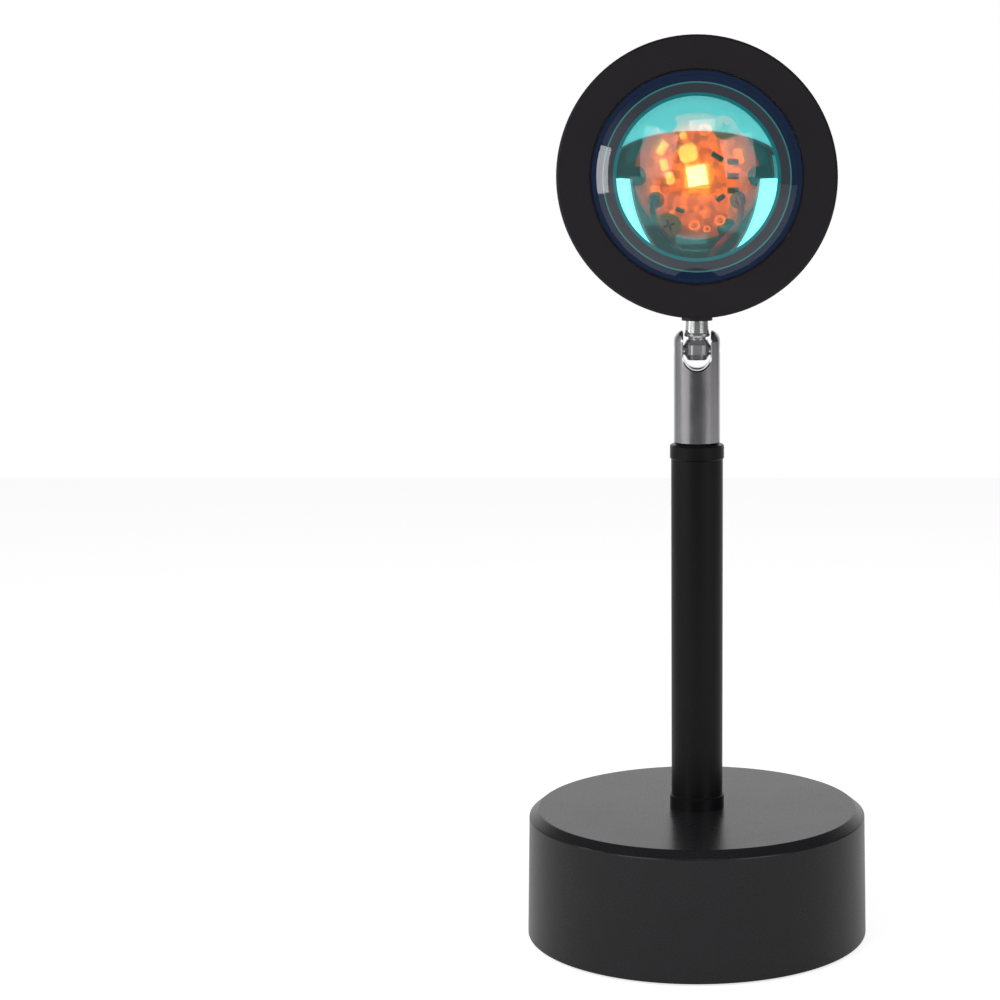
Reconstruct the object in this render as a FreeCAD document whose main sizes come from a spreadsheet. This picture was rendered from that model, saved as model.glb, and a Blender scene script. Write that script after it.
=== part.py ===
"""Sunset projection lamp: weighted round base, slim stem, knuckle joint and round lens head.

Every length is in millimetres. +Z is up, the lens looks along -Y, and the origin is the centre
of the base's underside. The lamp comes apart into the pieces written out at the end.
"""

import FreeCAD, Part
import math
import os
import re

import Sketcher

Vector = FreeCAD.Vector
document = FreeCAD.newDocument("SunsetLamp")

# ---------------------------------------------------------------------------------------------
# Driving dimensions: alias, value, what it measures
# ---------------------------------------------------------------------------------------------

DIMENSIONS = (
    # base
    ("base_foot_radius", 45.0, "outside radius of the base shell at its lower rim"),
    ("base_draft", 0.6, "how far the base wall leans in between the rim and the chamfer"),
    ("base_height", 34.4, "top face of the base above the table"),
    ("base_chamfer_height", 1.9, "height of the chamfer round the top of the base"),
    ("base_chamfer_width", 2.4, "width of that chamfer"),
    ("base_wall", 1.6, "side wall of the base shell"),
    ("base_top", 2.0, "top wall of the base shell"),
    ("base_edge_round", 0.4, "round on the outer edges of the base shell"),
    ("rim_gap", 0.6, "lower rim of the shell above the table"),
    ("pad_thickness", 1.0, "die-cut rubber foot pad"),
    ("pad_margin", 0.8, "how much smaller the foot pad is than the bottom plate, on radius"),
    ("plate_thickness", 1.6, "bottom plate"),
    ("plate_clearance", 0.15, "bottom plate to the shell's wall"),
    ("post_count", 3, "screw posts under the top of the base"),
    ("post_inset", 8.9, "middle of a screw post to the shell's wall"),
    ("post_radius", 3.6, "outside of a screw post"),
    ("post_core_spare", 2.0, "pilot hole in a post beyond the end of its screw"),
    ("weight_inset", 1.9, "iron counterweight to the shell's wall"),
    ("weight_thickness", 10.0, "thickness of the counterweight"),
    ("weight_hole_radius", 13.0, "hole in the middle of the counterweight"),
    ("weight_post_clearance", 0.4, "counterweight to the posts"),
    ("weight_channel_width", 9.0, "slot in the counterweight for the lead"),
    ("plate_screw_radius", 1.25, "thread of the bottom plate's screws"),
    ("plate_screw_length", 8.0, "length of those screws, head included"),
    ("plate_screw_head_radius", 2.4, "countersunk head"),
    ("plate_screw_cone", 90, "full angle of that head's cone, in degrees"),
    ("screw_clearance", 0.15, "screw shank to the hole it passes through, on radius"),
    # cable gland at the rear of the base
    ("gland_height", 10.0, "axis of the cable gland above the table"),
    ("gland_hole_radius", 3.3, "hole in the base wall"),
    ("gland_neck_clearance", 0.05, "gland to that hole"),
    ("gland_lead_clearance", 0.15, "passage of the gland round the lead, on radius"),
    ("gland_lip", 1.3, "outer lip of the gland beyond the hole"),
    ("gland_flange_thickness", 1.4, "how far the outer lip stands out"),
    ("gland_inner_lip", 1.2, "thickness of the lip inside the wall"),
    ("gland_slack", 0.35, "play of the gland along the hole, taken up by the curved wall"),
    ("supply_lead_radius", 1.75, "outside of the supply lead inside the lamp"),
    ("lead_gap", 0.4, "free end of a lead to the piece in front of it"),
    # stem
    ("stem_radius", 6.75, "outside of the stem tube"),
    ("stem_wall", 1.2, "wall of the stem tube"),
    ("tube_length", 89.3, "stem tube between its two collars"),
    ("lower_collar_proud", 0.4, "turned collar at the foot of the stem, beyond the tube"),
    ("lower_collar_height", 3.5, "height of that collar"),
    ("upper_collar_proud", 0.3, "turned collar at the head of the stem, beyond the tube"),
    ("upper_collar_height", 3.8, "height of that collar"),
    ("collar_chamfer", 0.3, "edge break of the collars"),
    ("thread_clearance", 0.05, "pieces that screw together, on radius"),
    ("nipple_wall", 1.8, "hollow threaded nipple between base and stem"),
    ("nipple_below", 6.0, "nipple below the top wall of the base"),
    ("nipple_above", 12.0, "nipple inside the stem tube"),
    ("stem_nut_wall", 2.0, "nut under the base top, thread to flats"),
    ("stem_nut_height", 4.0, "height of that nut"),
    ("stem_washer_radius", 9.5, "washer above that nut"),
    ("stem_washer_thickness", 1.0, "thickness of that washer"),
    # fork sleeve
    ("sleeve_step", 0.75, "how much slimmer the nickel fork sleeve is than the stem, on radius"),
    ("sleeve_foot_height", 0.7, "bright chamfer at the foot of the sleeve"),
    ("sleeve_foot_chamfer", 0.35, "width of that chamfer"),
    ("sleeve_dome", 3.0, "radius of the rounded top of the fork"),
    ("sleeve_bore_radius", 2.2, "lead passage up the sleeve"),
    ("spigot_length", 14.0, "threaded spigot of the sleeve inside the stem"),
    ("knuckle_side_gap", 0.17, "knuckle to each ear of the fork"),
    ("pivot_rise", 24.5, "tilt axis above the foot of the sleeve"),
    ("slot_drop", 4.9, "lowest point of the slot below the tilt axis"),
    ("ear_rise", 5.3, "top of the fork above the tilt axis"),
    ("slot_edge", 0.35, "bright bevel along the slot"),
    ("pin_radius", 1.25, "tilt pins"),
    ("pin_press", 0.01, "play of the pins in the ears"),
    ("pin_recess", 0.06, "pin ends below the surface of the sleeve"),
    ("pin_engagement", 1.25, "how far each pin reaches into the knuckle"),
    ("pin_chamfer", 0.25, "edge break of the pins"),
    ("pin_running", 0.04, "knuckle on its pins, on radius"),
    # knuckle stud, heights from the tilt axis
    ("knuckle_radius", 3.38, "barrel of the knuckle"),
    ("knuckle_bottom", 2.5, "barrel below the tilt axis"),
    ("knuckle_bottom_radius", 2.45, "barrel at its lower end"),
    ("knuckle_bottom_bevel", 1.5, "height of the lower bevel"),
    ("knuckle_top", 2.75, "barrel above the tilt axis"),
    ("knuckle_top_radius", 2.65, "barrel at its upper end"),
    ("knuckle_top_bevel", 1.35, "height of the upper bevel"),
    ("groove_radius", 2.3, "groove between barrel and neck"),
    ("groove_height", 0.75, "height of that groove"),
    ("ring_radius", 3.3, "ring at the foot of the neck"),
    ("ring_height", 1.0, "height of that ring"),
    ("ring_bevel", 0.25, "edge break of that ring"),
    ("neck_foot_radius", 3.1, "neck above the ring"),
    ("neck_head_radius", 2.95, "neck under the head"),
    ("neck_shoulder", 7.65, "shoulder of the neck above the tilt axis"),
    ("stud_bore_radius", 1.7, "lead passage through the knuckle and neck"),
    ("neck_step", 0.2, "neck beyond its threaded end inside the head, on radius"),
    ("stud_end_spare", 0.8, "thread that stands out of the nut"),
    ("running_gap", 0.05, "flat faces that turn on each other"),
    ("swivel_running", 0.05, "neck thread to the holes it turns in, on radius"),
    ("seat_radius", 4.0, "black seat between neck and head"),
    ("seat_height", 1.8, "height of that seat below the head"),
    ("swivel_washer_radius", 5.2, "spring washer inside the head"),
    ("swivel_washer_thickness", 0.8, "thickness of that washer"),
    ("swivel_nut_flats", 8.6, "across the flats of the lock nut inside the head"),
    ("swivel_nut_height", 2.8, "height of that lock nut"),
    # head, lengths along the optical axis
    ("head_radius", 35.0, "outside of the round head"),
    ("head_depth", 40.0, "front face to back of the head"),
    ("head_wall", 2.2, "side wall of the housing"),
    ("head_back", 2.6, "back wall of the housing"),
    ("head_rear_round", 6.0, "round at the rear edge of the housing"),
    ("head_inner_round", 3.0, "round inside the rear edge"),
    ("head_front_edge", 0.6, "edge break round the front of the bezel"),
    ("seam_bevel", 0.2, "bevels that show the joint of bezel and housing"),
    ("neck_boss_margin", 0.8, "flat boss over the neck, beyond the washer on it"),
    ("neck_boss_rise", 1.2, "rise of that boss above the wall"),
    ("bezel_depth", 5.0, "visible side of the front ring"),
    ("bezel_spigot", 5.0, "part of the front ring inside the housing"),
    ("bezel_spigot_wall", 4.45, "wall of the front ring inside the housing"),
    ("bezel_overlap", 1.8, "front ring over the rim of the lens"),
    ("bezel_lip", 4.4, "thickness of the ring in front of the lens seal"),
    ("bezel_lip_edge", 0.4, "edge break of the opening"),
    ("gasket_thickness", 0.6, "seal in front of the lens rim"),
    ("gasket_margin", 0.2, "seal back from the opening and from the rim's edge"),
    ("lens_curvature", 32.0, "radius of the lens dome's surface"),
    ("lens_rim_width", 2.0, "flat rim round the dome"),
    ("lens_rim_thickness", 2.2, "thickness of that rim"),
    ("lens_seat_clearance", 0.1, "lens rim to the ring"),
    ("retainer_thickness", 3.4, "threaded ring behind the lens"),
    ("retainer_lip", 1.4, "thickness of the ring in front of the filter"),
    ("aperture_radius", 17.2, "opening of that ring"),
    ("filter_ledge", 2.4, "colour filter disc beyond the opening in front of it"),
    ("filter_thickness", 1.1, "thickness of the filter"),
    ("filter_clearance", 0.1, "filter to its recess"),
    ("clip_wire_radius", 0.35, "snap ring behind the filter"),
    ("clip_gap_angle", 38, "opening of the snap ring in degrees"),
    # lamp board and heat sink
    ("board_distance", 9.5, "flat back of the lens to the front of the lamp board"),
    ("board_radius", 9.9, "star-shaped lamp board"),
    ("board_thickness", 1.6, "thickness of the board"),
    ("board_notch_count", 6, "notches round the board"),
    ("board_notch_radius", 1.6, "radius of a notch"),
    ("board_notch_inset", 0.6, "centre of a notch inside the board's edge"),
    ("emitter_side", 3.6, "square light-emitting chip"),
    ("emitter_height", 0.8, "height of its package"),
    ("emitter_dome_radius", 1.4, "clear dome on the chip, radius of its foot"),
    ("emitter_dome_height", 0.6, "height of that dome"),
    ("resistor_length", 1.8, "small resistor"),
    ("resistor_width", 0.9, "width of it"),
    ("resistor_height", 0.5, "height of it"),
    ("resistor_pitch", 2.2, "distance between the resistors"),
    ("resistor_offset", 5.6, "row of resistors from the axis"),
    ("sink_inset", 8.8, "plate of the heat sink to the wall of the housing"),
    ("sink_plate", 2.5, "thickness of that plate"),
    ("sink_core_radius", 5.5, "core behind the plate"),
    ("sink_fin_gap", 1.5, "fins to the pillars"),
    ("sink_rear_gap", 5.6, "fins to the back wall of the housing"),
    ("sink_fin_thickness", 1.2, "thickness of a fin"),
    ("sink_fin_count", 16, "fins round the core"),
    ("sink_notch_width", 9.0, "notch in the plate for the leads"),
    ("sink_notch_land", 3.6, "plate between the board and that notch"),
    ("pillar_count", 3, "pillars that carry the heat sink"),
    ("pillar_inset", 3.5, "middle of a pillar to the edge of the plate"),
    ("pillar_radius", 3.0, "outside of a pillar"),
    ("pillar_core_spare", 1.0, "pilot hole in a pillar beyond the end of its screw"),
    ("sink_screw_radius", 1.1, "thread of the heat sink's screws"),
    ("sink_screw_grip", 5.0, "thread below the plate"),
    ("board_screw_radius", 1.2, "thread of the board's screws"),
    ("board_screw_angle", 60, "notch that holds the upper screw, above the horizontal, in degrees"),
    ("pan_head_radius", 2.2, "pan head of the small screws"),
    ("pan_head_height", 1.3, "height of a pan head"),
    ("hair_clearance", 0.02, "threads drawn as plain cylinders, on radius"),
    ("head_lead_radius", 0.6, "red and black leads inside the head"),
    ("head_lead_spread", 0.85, "each lead from the middle of the neck"),
    ("head_lead_rise", 4.9, "first run of those leads, up from the neck"),
    ("head_lead_arch", 2.9, "how far those leads stand out in front of the board"),
    ("head_lead_step", 2.4, "last run of those leads, along the board"),
    ("head_lead_flare", 0.9, "how far those leads swing out beyond their pads"),
    ("head_lead_waist", 2.4, "those leads from the middle where they pass the notch"),
    ("solder_pad_reach", 7.4, "solder pads from the axis"),
    ("solder_pad_angle", 30, "solder pads below the horizontal, in degrees"),
)

# Lengths worked out from the driving dimensions. Each may name earlier ones.
DERIVED = {
    "base_chamfer_foot": "base_height - base_chamfer_height",
    "base_wall_radius": "base_foot_radius - base_draft",
    "base_face_radius": "base_wall_radius - base_chamfer_width",
    "base_inner_radius": "base_wall_radius - base_wall",
    "base_ceiling": "base_height - base_top",
    "post_pitch_radius": "base_inner_radius - post_inset",
    "weight_radius": "base_inner_radius - weight_inset",
    "plate_top": "pad_thickness + plate_thickness",
    "plate_radius": "base_inner_radius - plate_clearance",
    "gland_wall_radius":
        "base_foot_radius - base_draft * (gland_height - rim_gap) / (base_chamfer_foot - rim_gap)",
    "gland_wall": "gland_wall_radius - base_inner_radius",
    "gland_bore_radius": "supply_lead_radius + gland_lead_clearance",
    "gland_flange_radius": "gland_hole_radius + gland_lip",
    "gland_seat":
        "gland_flange_radius * base_draft / (base_chamfer_foot - rim_gap) + running_gap",
    "gland_inner_face": "gland_wall + gland_slack",
    "stem_bore_radius": "stem_radius - stem_wall",
    "lower_collar_radius": "stem_radius + lower_collar_proud",
    "upper_collar_radius": "stem_radius + upper_collar_proud",
    "sleeve_radius": "stem_radius - sleeve_step",
    "nipple_radius": "stem_bore_radius - thread_clearance",
    "stem_nut_flats": "2 * (nipple_radius + stem_nut_wall)",
    "tube_bottom": "base_height + lower_collar_height",
    "tube_top": "tube_bottom + tube_length",
    "stem_top": "tube_top + upper_collar_height",
    "pivot_height": "stem_top + pivot_rise",
    "sleeve_length": "pivot_rise + ear_rise",
    "slot_floor": "pivot_rise - slot_drop",
    "slot_width": "2 * (knuckle_radius + knuckle_side_gap)",
    "slot_centre": "slot_floor + slot_width / 2",
    "pin_face": "sqrt(sleeve_radius ^ 2 - pin_radius ^ 2) - pin_recess",
    "ring_foot": "knuckle_top + groove_height",
    "ring_top": "ring_foot + ring_height",
    "stud_thread_radius": "neck_head_radius - neck_step",
    "neck_height": "neck_shoulder + running_gap + seat_height",
    "head_centre": "pivot_height + neck_height + head_radius",
    "boss_face": "head_radius - head_wall - neck_boss_rise",
    "neck_boss_radius": "swivel_washer_radius + neck_boss_margin",
    "stud_washer_foot": "neck_height + head_radius - boss_face + running_gap",
    "stud_nut_foot": "stud_washer_foot + swivel_washer_thickness",
    "stud_end": "stud_nut_foot + swivel_nut_height + stud_end_spare",
    "head_front": "0 - head_depth / 2",
    "head_rear": "head_depth / 2",
    "head_bore": "head_radius - head_wall",
    "head_floor": "head_rear - head_back",
    "bezel_back": "head_front + bezel_depth",
    "bezel_end": "bezel_back + bezel_spigot",
    "bezel_bore": "head_bore - thread_clearance - bezel_spigot_wall",
    "lens_rim_radius": "bezel_bore - lens_seat_clearance",
    "lens_dome_radius": "lens_rim_radius - lens_rim_width",
    "bezel_opening_radius": "lens_rim_radius - bezel_overlap",
    "lens_rim_front": "head_front + bezel_lip + gasket_thickness",
    "lens_back": "lens_rim_front + lens_rim_thickness",
    "lens_apex": "lens_rim_front - lens_curvature + sqrt(lens_curvature ^ 2 - lens_dome_radius ^ 2)",
    "filter_radius": "aperture_radius + filter_ledge",
    "filter_front": "lens_back + retainer_lip",
    "filter_back": "filter_front + filter_thickness",
    "board_front": "lens_back + board_distance",
    "board_back": "board_front + board_thickness",
    "board_notch_pitch": "board_radius - board_notch_inset",
    "sink_radius": "head_bore - sink_inset",
    "pillar_pitch_radius": "sink_radius - pillar_inset",
    "sink_fin_radius": "pillar_pitch_radius - pillar_radius - sink_fin_gap",
    "sink_back": "board_back + sink_plate",
    "sink_fin_length": "head_floor - sink_back - sink_rear_gap",
    "sink_notch_floor": "board_radius + sink_notch_land",
}

sheet = document.addObject("Spreadsheet::Sheet", "Sizes")
for row, (alias, size, meaning) in enumerate(DIMENSIONS, start=2):
    sheet.set(f"A{row}", meaning)
    sheet.set(f"B{row}", str(size))
    sheet.setAlias(f"B{row}", alias)
document.recompute()

ALIASES = {alias for alias, size, meaning in DIMENSIONS}


def bound(text):
    """Return an expression with its plain names replaced by the cells that hold them."""

    def replace(match):
        word = match.group(0)
        if word in DERIVED:
            return "(" + bound(DERIVED[word]) + ")"
        return "Sizes." + word if word in ALIASES else word

    return re.sub(r"[A-Za-z_][A-Za-z_0-9]*", replace, str(text))


def size_of(text):
    """Return the present value of an expression as a number."""
    return float(sheet.evalExpression(bound(text)))


# ---------------------------------------------------------------------------------------------
# Sketches and features
# ---------------------------------------------------------------------------------------------

TINY = 1e-7
NEAR = 1e-3
SUBPARTS = []


def new_body(label, x="0", y="0", z="0"):
    """Add a body for one sub-part, placed by three expressions."""
    body = document.addObject("PartDesign::Body", label)
    body.Label = label
    place(body, x, y, z)
    SUBPARTS.append(body)
    return body


def place(item, x="0", y="0", z="0"):
    """Tie the position of an object to three expressions."""
    for axis, text in zip("xyz", (x, y, z)):
        if text != "0":
            item.setExpression(f"Placement.Base.{axis}", bound(text))


def new_sketch(body, name, plane="XY_Plane", offset=None):
    """Add a sketch on one of the body's own planes, moved along the plane's normal by offset."""
    sketch = body.newObject("Sketcher::SketchObject", name)
    support = next(f for f in body.Origin.OriginFeatures if f.Role == plane)
    sketch.AttachmentSupport = [(support, "")]
    sketch.MapMode = "FlatFace"
    if offset is not None:
        sketch.setExpression("AttachmentOffset.Base.z", bound(offset))
    return sketch


def fix_point(sketch, geometry, position, label, x, y):
    """Dimension one point of a sketch from the origin; a zero puts it on the axis."""
    for kind, axis, text in (("DistanceX", -2, x), ("DistanceY", -1, y)):
        value = size_of(text)
        if abs(value) < TINY:
            sketch.addConstraint(Sketcher.Constraint("PointOnObject", geometry, position, axis))
            continue
        item = Sketcher.Constraint(kind, -1, 1, geometry, position, value)
        index = sketch.addConstraint(item)
        title = f"{label}_{'across' if kind == 'DistanceX' else 'along'}"
        sketch.renameConstraint(index, title)
        sketch.setExpression(f"Constraints.{title}", bound(text))


class Bend:
    """An arc between two corners of an outline, given by its centre and its sense."""

    def __init__(self, x, y, clockwise=False, tie="x"):
        self.x, self.y = x, y
        self.clockwise = clockwise
        self.tie = tie


def outline(sketch, corners, label="corner"):
    """Draw a closed outline.

    Each corner is a pair of expressions; a third entry, a Bend, makes the edge that leaves the
    corner an arc. Every corner is dimensioned from the origin.
    """
    points = [Vector(size_of(corner[0]), size_of(corner[1]), 0) for corner in corners]
    ends = []
    for index, corner in enumerate(corners):
        here, there = points[index], points[(index + 1) % len(points)]
        if len(corner) == 2:
            geometry = sketch.addGeometry(Part.LineSegment(here, there))
            ends.append((geometry, 1, 2))
            continue
        bend = corner[2]
        centre = Vector(size_of(bend.x), size_of(bend.y), 0)
        first, last = (there, here) if bend.clockwise else (here, there)
        start = math.atan2(first.y - centre.y, first.x - centre.x)
        stop = math.atan2(last.y - centre.y, last.x - centre.x)
        while stop <= start:
            stop += 2 * math.pi
        circle = Part.Circle(centre, Vector(0, 0, 1), (here - centre).Length)
        geometry = sketch.addGeometry(Part.ArcOfCircle(circle, start, stop))
        ends.append((geometry, 2, 1) if bend.clockwise else (geometry, 1, 2))
        fix_centre(sketch, geometry, f"{label}_{index}_centre", bend)
    for index, (geometry, start, stop) in enumerate(ends):
        following, following_start, _ = ends[(index + 1) % len(ends)]
        joint = Sketcher.Constraint("Coincident", geometry, stop, following, following_start)
        sketch.addConstraint(joint)
        fix_point(sketch, geometry, start, f"{label}_{index}", corners[index][0], corners[index][1])


def fix_centre(sketch, geometry, label, bend):
    """Tie one coordinate of an arc's centre; its two ends settle the rest."""
    kind, axis, text = ("DistanceX", -2, bend.x) if bend.tie == "x" else ("DistanceY", -1, bend.y)
    value = size_of(text)
    if abs(value) < TINY:
        sketch.addConstraint(Sketcher.Constraint("PointOnObject", geometry, 3, axis))
        return
    index = sketch.addConstraint(Sketcher.Constraint(kind, -1, 1, geometry, 3, value))
    sketch.renameConstraint(index, label)
    sketch.setExpression(f"Constraints.{label}", bound(text))


def ring(sketch, radius, x="0", y="0", label="ring"):
    """Draw a full circle with a dimensioned centre and radius."""
    centre = Vector(size_of(x), size_of(y), 0)
    geometry = sketch.addGeometry(Part.Circle(centre, Vector(0, 0, 1), size_of(radius)))
    if abs(centre.x) < TINY and abs(centre.y) < TINY:
        sketch.addConstraint(Sketcher.Constraint("Coincident", geometry, 3, -1, 1))
    else:
        fix_point(sketch, geometry, 3, label + "_centre", x, y)
    index = sketch.addConstraint(Sketcher.Constraint("Radius", geometry, size_of(radius)))
    sketch.renameConstraint(index, label + "_size")
    sketch.setExpression(f"Constraints.{label}_size", bound(radius))


def rectangle(low_x, low_y, high_x, high_y):
    """Return the four corners of a rectangle for outline."""
    return [(low_x, low_y), (high_x, low_y), (high_x, high_y), (low_x, high_y)]


def hexagon(flats):
    """Return the six corners of a hexagon, given its size across the flats."""
    return [(f"({flats}) / sqrt(3) * cos({60 * step})", f"({flats}) / sqrt(3) * sin({60 * step})")
            for step in range(6)]


def finished(body, feature, grows):
    """Make feature the body's tip and check that it adds or removes material as meant."""
    body.Tip = feature
    document.recompute()
    before = feature.BaseFeature.Shape.Volume if feature.BaseFeature else 0.0
    change = feature.Shape.Volume - before
    if feature.Shape.isNull() or (change <= TINY if grows else change >= -TINY):
        raise RuntimeError(f"{body.Label}.{feature.Name} changes the volume by {change:.6f}")
    return feature


def turned(label, corners, along="Z", aside=None, **position):
    """Turn a piece from its outline.

    Along Z a corner is (radius, height). Along Y it is (position along the axis, radius), and
    along X likewise. A length given as aside moves the axis that far towards -Y.
    """
    body = new_body(label, **position)
    plane, axis = {"Z": ("XZ_Plane", "V_Axis"), "Y": ("YZ_Plane", "H_Axis"),
                   "X": ("XZ_Plane", "H_Axis")}[along]
    sketch = new_sketch(body, label + "_outline", plane, offset=aside)
    outline(sketch, corners)
    feature = body.newObject("PartDesign::Revolution", label + "_turning")
    feature.Profile = sketch
    feature.ReferenceAxis = (sketch, [axis])
    feature.Angle = 360
    finished(body, feature, grows=True)
    return body


def extrude(body, sketch, length, reverse=False):
    """Pad a sketch along its normal, or against it."""
    feature = body.newObject("PartDesign::Pad", sketch.Name + "_pad")
    feature.Profile = sketch
    feature.Reversed = reverse
    feature.setExpression("Length", bound(length))
    return finished(body, feature, grows=True)


def cut(body, sketch, length=None, reverse=False, both_ways=False):
    """Cut a sketch against its normal by length, or through everything."""
    feature = body.newObject("PartDesign::Pocket", sketch.Name + "_cut")
    feature.Profile = sketch
    feature.Reversed = reverse
    if length is None:
        feature.Type = "ThroughAll"
        feature.Midplane = both_ways
    else:
        feature.setExpression("Length", bound(length))
    return finished(body, feature, grows=False)


def repeat_round(body, name, originals, sketch, count, grows):
    """Repeat features evenly over a full turn, about their sketch's normal or the body's Z axis."""
    feature = body.newObject("PartDesign::PolarPattern", name)
    feature.Originals = originals
    upright = next(f for f in body.Origin.OriginFeatures if f.Role == "Z_Axis")
    feature.Axis = (sketch, ["N_Axis"]) if sketch else (upright, [""])
    feature.Angle = 360
    feature.setExpression("Occurrences", bound(count))
    return finished(body, feature, grows)


def round_edges(body, name, radius, chosen):
    """Round the edges of the body's tip for which chosen(edge) is true."""
    base = body.Tip
    names = [f"Edge{i}" for i, edge in enumerate(base.Shape.Edges, start=1) if chosen(edge)]
    feature = body.newObject("PartDesign::Fillet", name)
    feature.Base = (base, names)
    feature.setExpression("Radius", bound(radius))
    return finished(body, feature, grows=False)


def bevel_edges(body, name, width, chosen):
    """Chamfer the edges of the body's tip for which chosen(edge) is true."""
    base = body.Tip
    names = [f"Edge{i}" for i, edge in enumerate(base.Shape.Edges, start=1) if chosen(edge)]
    feature = body.newObject("PartDesign::Chamfer", name)
    feature.Base = (base, names)
    feature.setExpression("Size", bound(width))
    return finished(body, feature, grows=False)


def is_hoop(edge, radius, height):
    """Tell whether an edge is a full horizontal circle of this radius at this height."""
    centre = edge.BoundBox.Center
    box = edge.BoundBox
    return (box.ZLength < NEAR and abs(centre.z - height) < NEAR
            and abs(box.XLength / 2 - radius) < NEAR and abs(centre.x) < NEAR)


# ---------------------------------------------------------------------------------------------
# Base
# ---------------------------------------------------------------------------------------------

def make_base_shell():
    """Turned shell: drafted wall, chamfered top, screw posts, stem hole and gland hole."""
    stem_hole = "nipple_radius + screw_clearance"
    body = turned("base_shell", [
        ("base_inner_radius", "rim_gap"),
        ("base_foot_radius", "rim_gap"),
        ("base_wall_radius", "base_chamfer_foot"),
        ("base_face_radius", "base_height"),
        (stem_hole, "base_height"),
        (stem_hole, "base_ceiling"),
        ("base_inner_radius", "base_ceiling"),
    ])
    edges = ((size_of("base_foot_radius"), size_of("rim_gap")),
             (size_of("base_wall_radius"), size_of("base_chamfer_foot")),
             (size_of("base_face_radius"), size_of("base_height")))
    round_edges(body, "base_shell_rounds", "base_edge_round",
                lambda edge: any(is_hoop(edge, radius, height) for radius, height in edges))
    post = new_sketch(body, "post", offset="base_ceiling")
    ring(post, "post_radius", y="0 - post_pitch_radius")
    post_pad = extrude(body, post, "base_ceiling - plate_top", reverse=True)
    core = new_sketch(body, "post_core", offset="plate_top")
    ring(core, "plate_screw_radius + hair_clearance", y="0 - post_pitch_radius")
    core_cut = cut(body, core, "plate_screw_length - plate_thickness + post_core_spare",
                   reverse=True)
    repeat_round(body, "posts", [post_pad, core_cut], post, "post_count", grows=True)
    gland = new_sketch(body, "gland_hole", "XZ_Plane")
    ring(gland, "gland_hole_radius", y="gland_height")
    cut(body, gland, "base_foot_radius")
    rear_wall = Vector(0, size_of("base_inner_radius + base_wall / 2"), size_of("gland_height"))
    if body.Shape.isInside(rear_wall, TINY, False):
        raise RuntimeError("the gland hole isn't in the rear wall")


def make_base_plate():
    """Bottom plate with countersunk screw holes."""
    body = new_body("base_plate", z="pad_thickness")
    disc = new_sketch(body, "plate_disc")
    ring(disc, "plate_radius")
    extrude(body, disc, "plate_thickness")
    centres = new_sketch(body, "plate_screw_centre")
    ring(centres, "plate_screw_radius + screw_clearance", y="0 - post_pitch_radius")
    document.recompute()
    hole = body.newObject("PartDesign::Hole", "plate_screw_hole")
    hole.Profile = centres
    hole.DepthType = "ThroughAll"
    hole.Reversed = True
    hole.setExpression("Diameter", bound("2 * (plate_screw_radius + screw_clearance)"))
    hole.HoleCutType = "Countersink"
    hole.HoleCutCustomValues = True
    hole.setExpression("HoleCutCountersinkAngle", bound("plate_screw_cone"))
    hole.setExpression("HoleCutDiameter", bound("2 * (plate_screw_head_radius + screw_clearance)"))
    finished(body, hole, grows=False)
    repeat_round(body, "plate_screw_holes", [hole], centres, "post_count", grows=False)


def make_base_screws():
    """Countersunk screws that hold the bottom plate to the posts."""
    body = turned("base_screws", [
        ("0", "0"),
        ("plate_screw_head_radius", "0"),
        ("plate_screw_radius",
         "(plate_screw_head_radius - plate_screw_radius) / tan(plate_screw_cone / 2)"),
        ("plate_screw_radius", "plate_screw_length"),
        ("0", "plate_screw_length"),
    ], aside="post_pitch_radius", z="pad_thickness")
    repeat_round(body, "plate_screws", [body.Tip], None, "post_count", grows=True)


def make_counterweight():
    """Iron disc on the bottom plate, cut out for the posts and for the lead."""
    body = new_body("counterweight", z="plate_top")
    disc = new_sketch(body, "weight_disc")
    ring(disc, "weight_radius")
    ring(disc, "weight_hole_radius", label="hole")
    extrude(body, disc, "weight_thickness")
    hole = new_sketch(body, "weight_post_hole")
    ring(hole, "post_radius + weight_post_clearance", y="0 - post_pitch_radius")
    hole_cut = cut(body, hole, reverse=True)
    repeat_round(body, "weight_post_holes", [hole_cut], hole, "post_count", grows=False)
    channel = new_sketch(body, "lead_channel")
    outline(channel, rectangle("0 - weight_channel_width / 2", "weight_hole_radius / 2",
                               "weight_channel_width / 2", "weight_radius + base_wall"))
    cut(body, channel, reverse=True)


def make_foot_pad():
    """Die-cut rubber pad that the lamp stands on."""
    body = new_body("foot_pad")
    disc = new_sketch(body, "pad_disc")
    ring(disc, "plate_radius - pad_margin")
    extrude(body, disc, "pad_thickness")


def make_cable_grommet():
    """Rubber gland in the rear wall of the base, turned about its bore."""
    neck = "gland_hole_radius - gland_neck_clearance"
    turned("cable_grommet", [
        ("0 - gland_inner_face - gland_inner_lip", "gland_bore_radius"),
        ("gland_flange_thickness", "gland_bore_radius"),
        ("gland_flange_thickness", "gland_flange_radius - gland_flange_thickness / 2"),
        ("gland_flange_thickness / 2", "gland_flange_radius"),
        ("gland_seat", "gland_flange_radius"),
        ("gland_seat", neck),
        ("0 - gland_inner_face", neck),
        ("0 - gland_inner_face", "gland_flange_radius - gland_slack"),
        ("0 - gland_inner_face - gland_inner_lip", neck),
    ], along="Y", y="gland_wall_radius", z="gland_height")


# ---------------------------------------------------------------------------------------------
# Stem
# ---------------------------------------------------------------------------------------------

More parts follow.
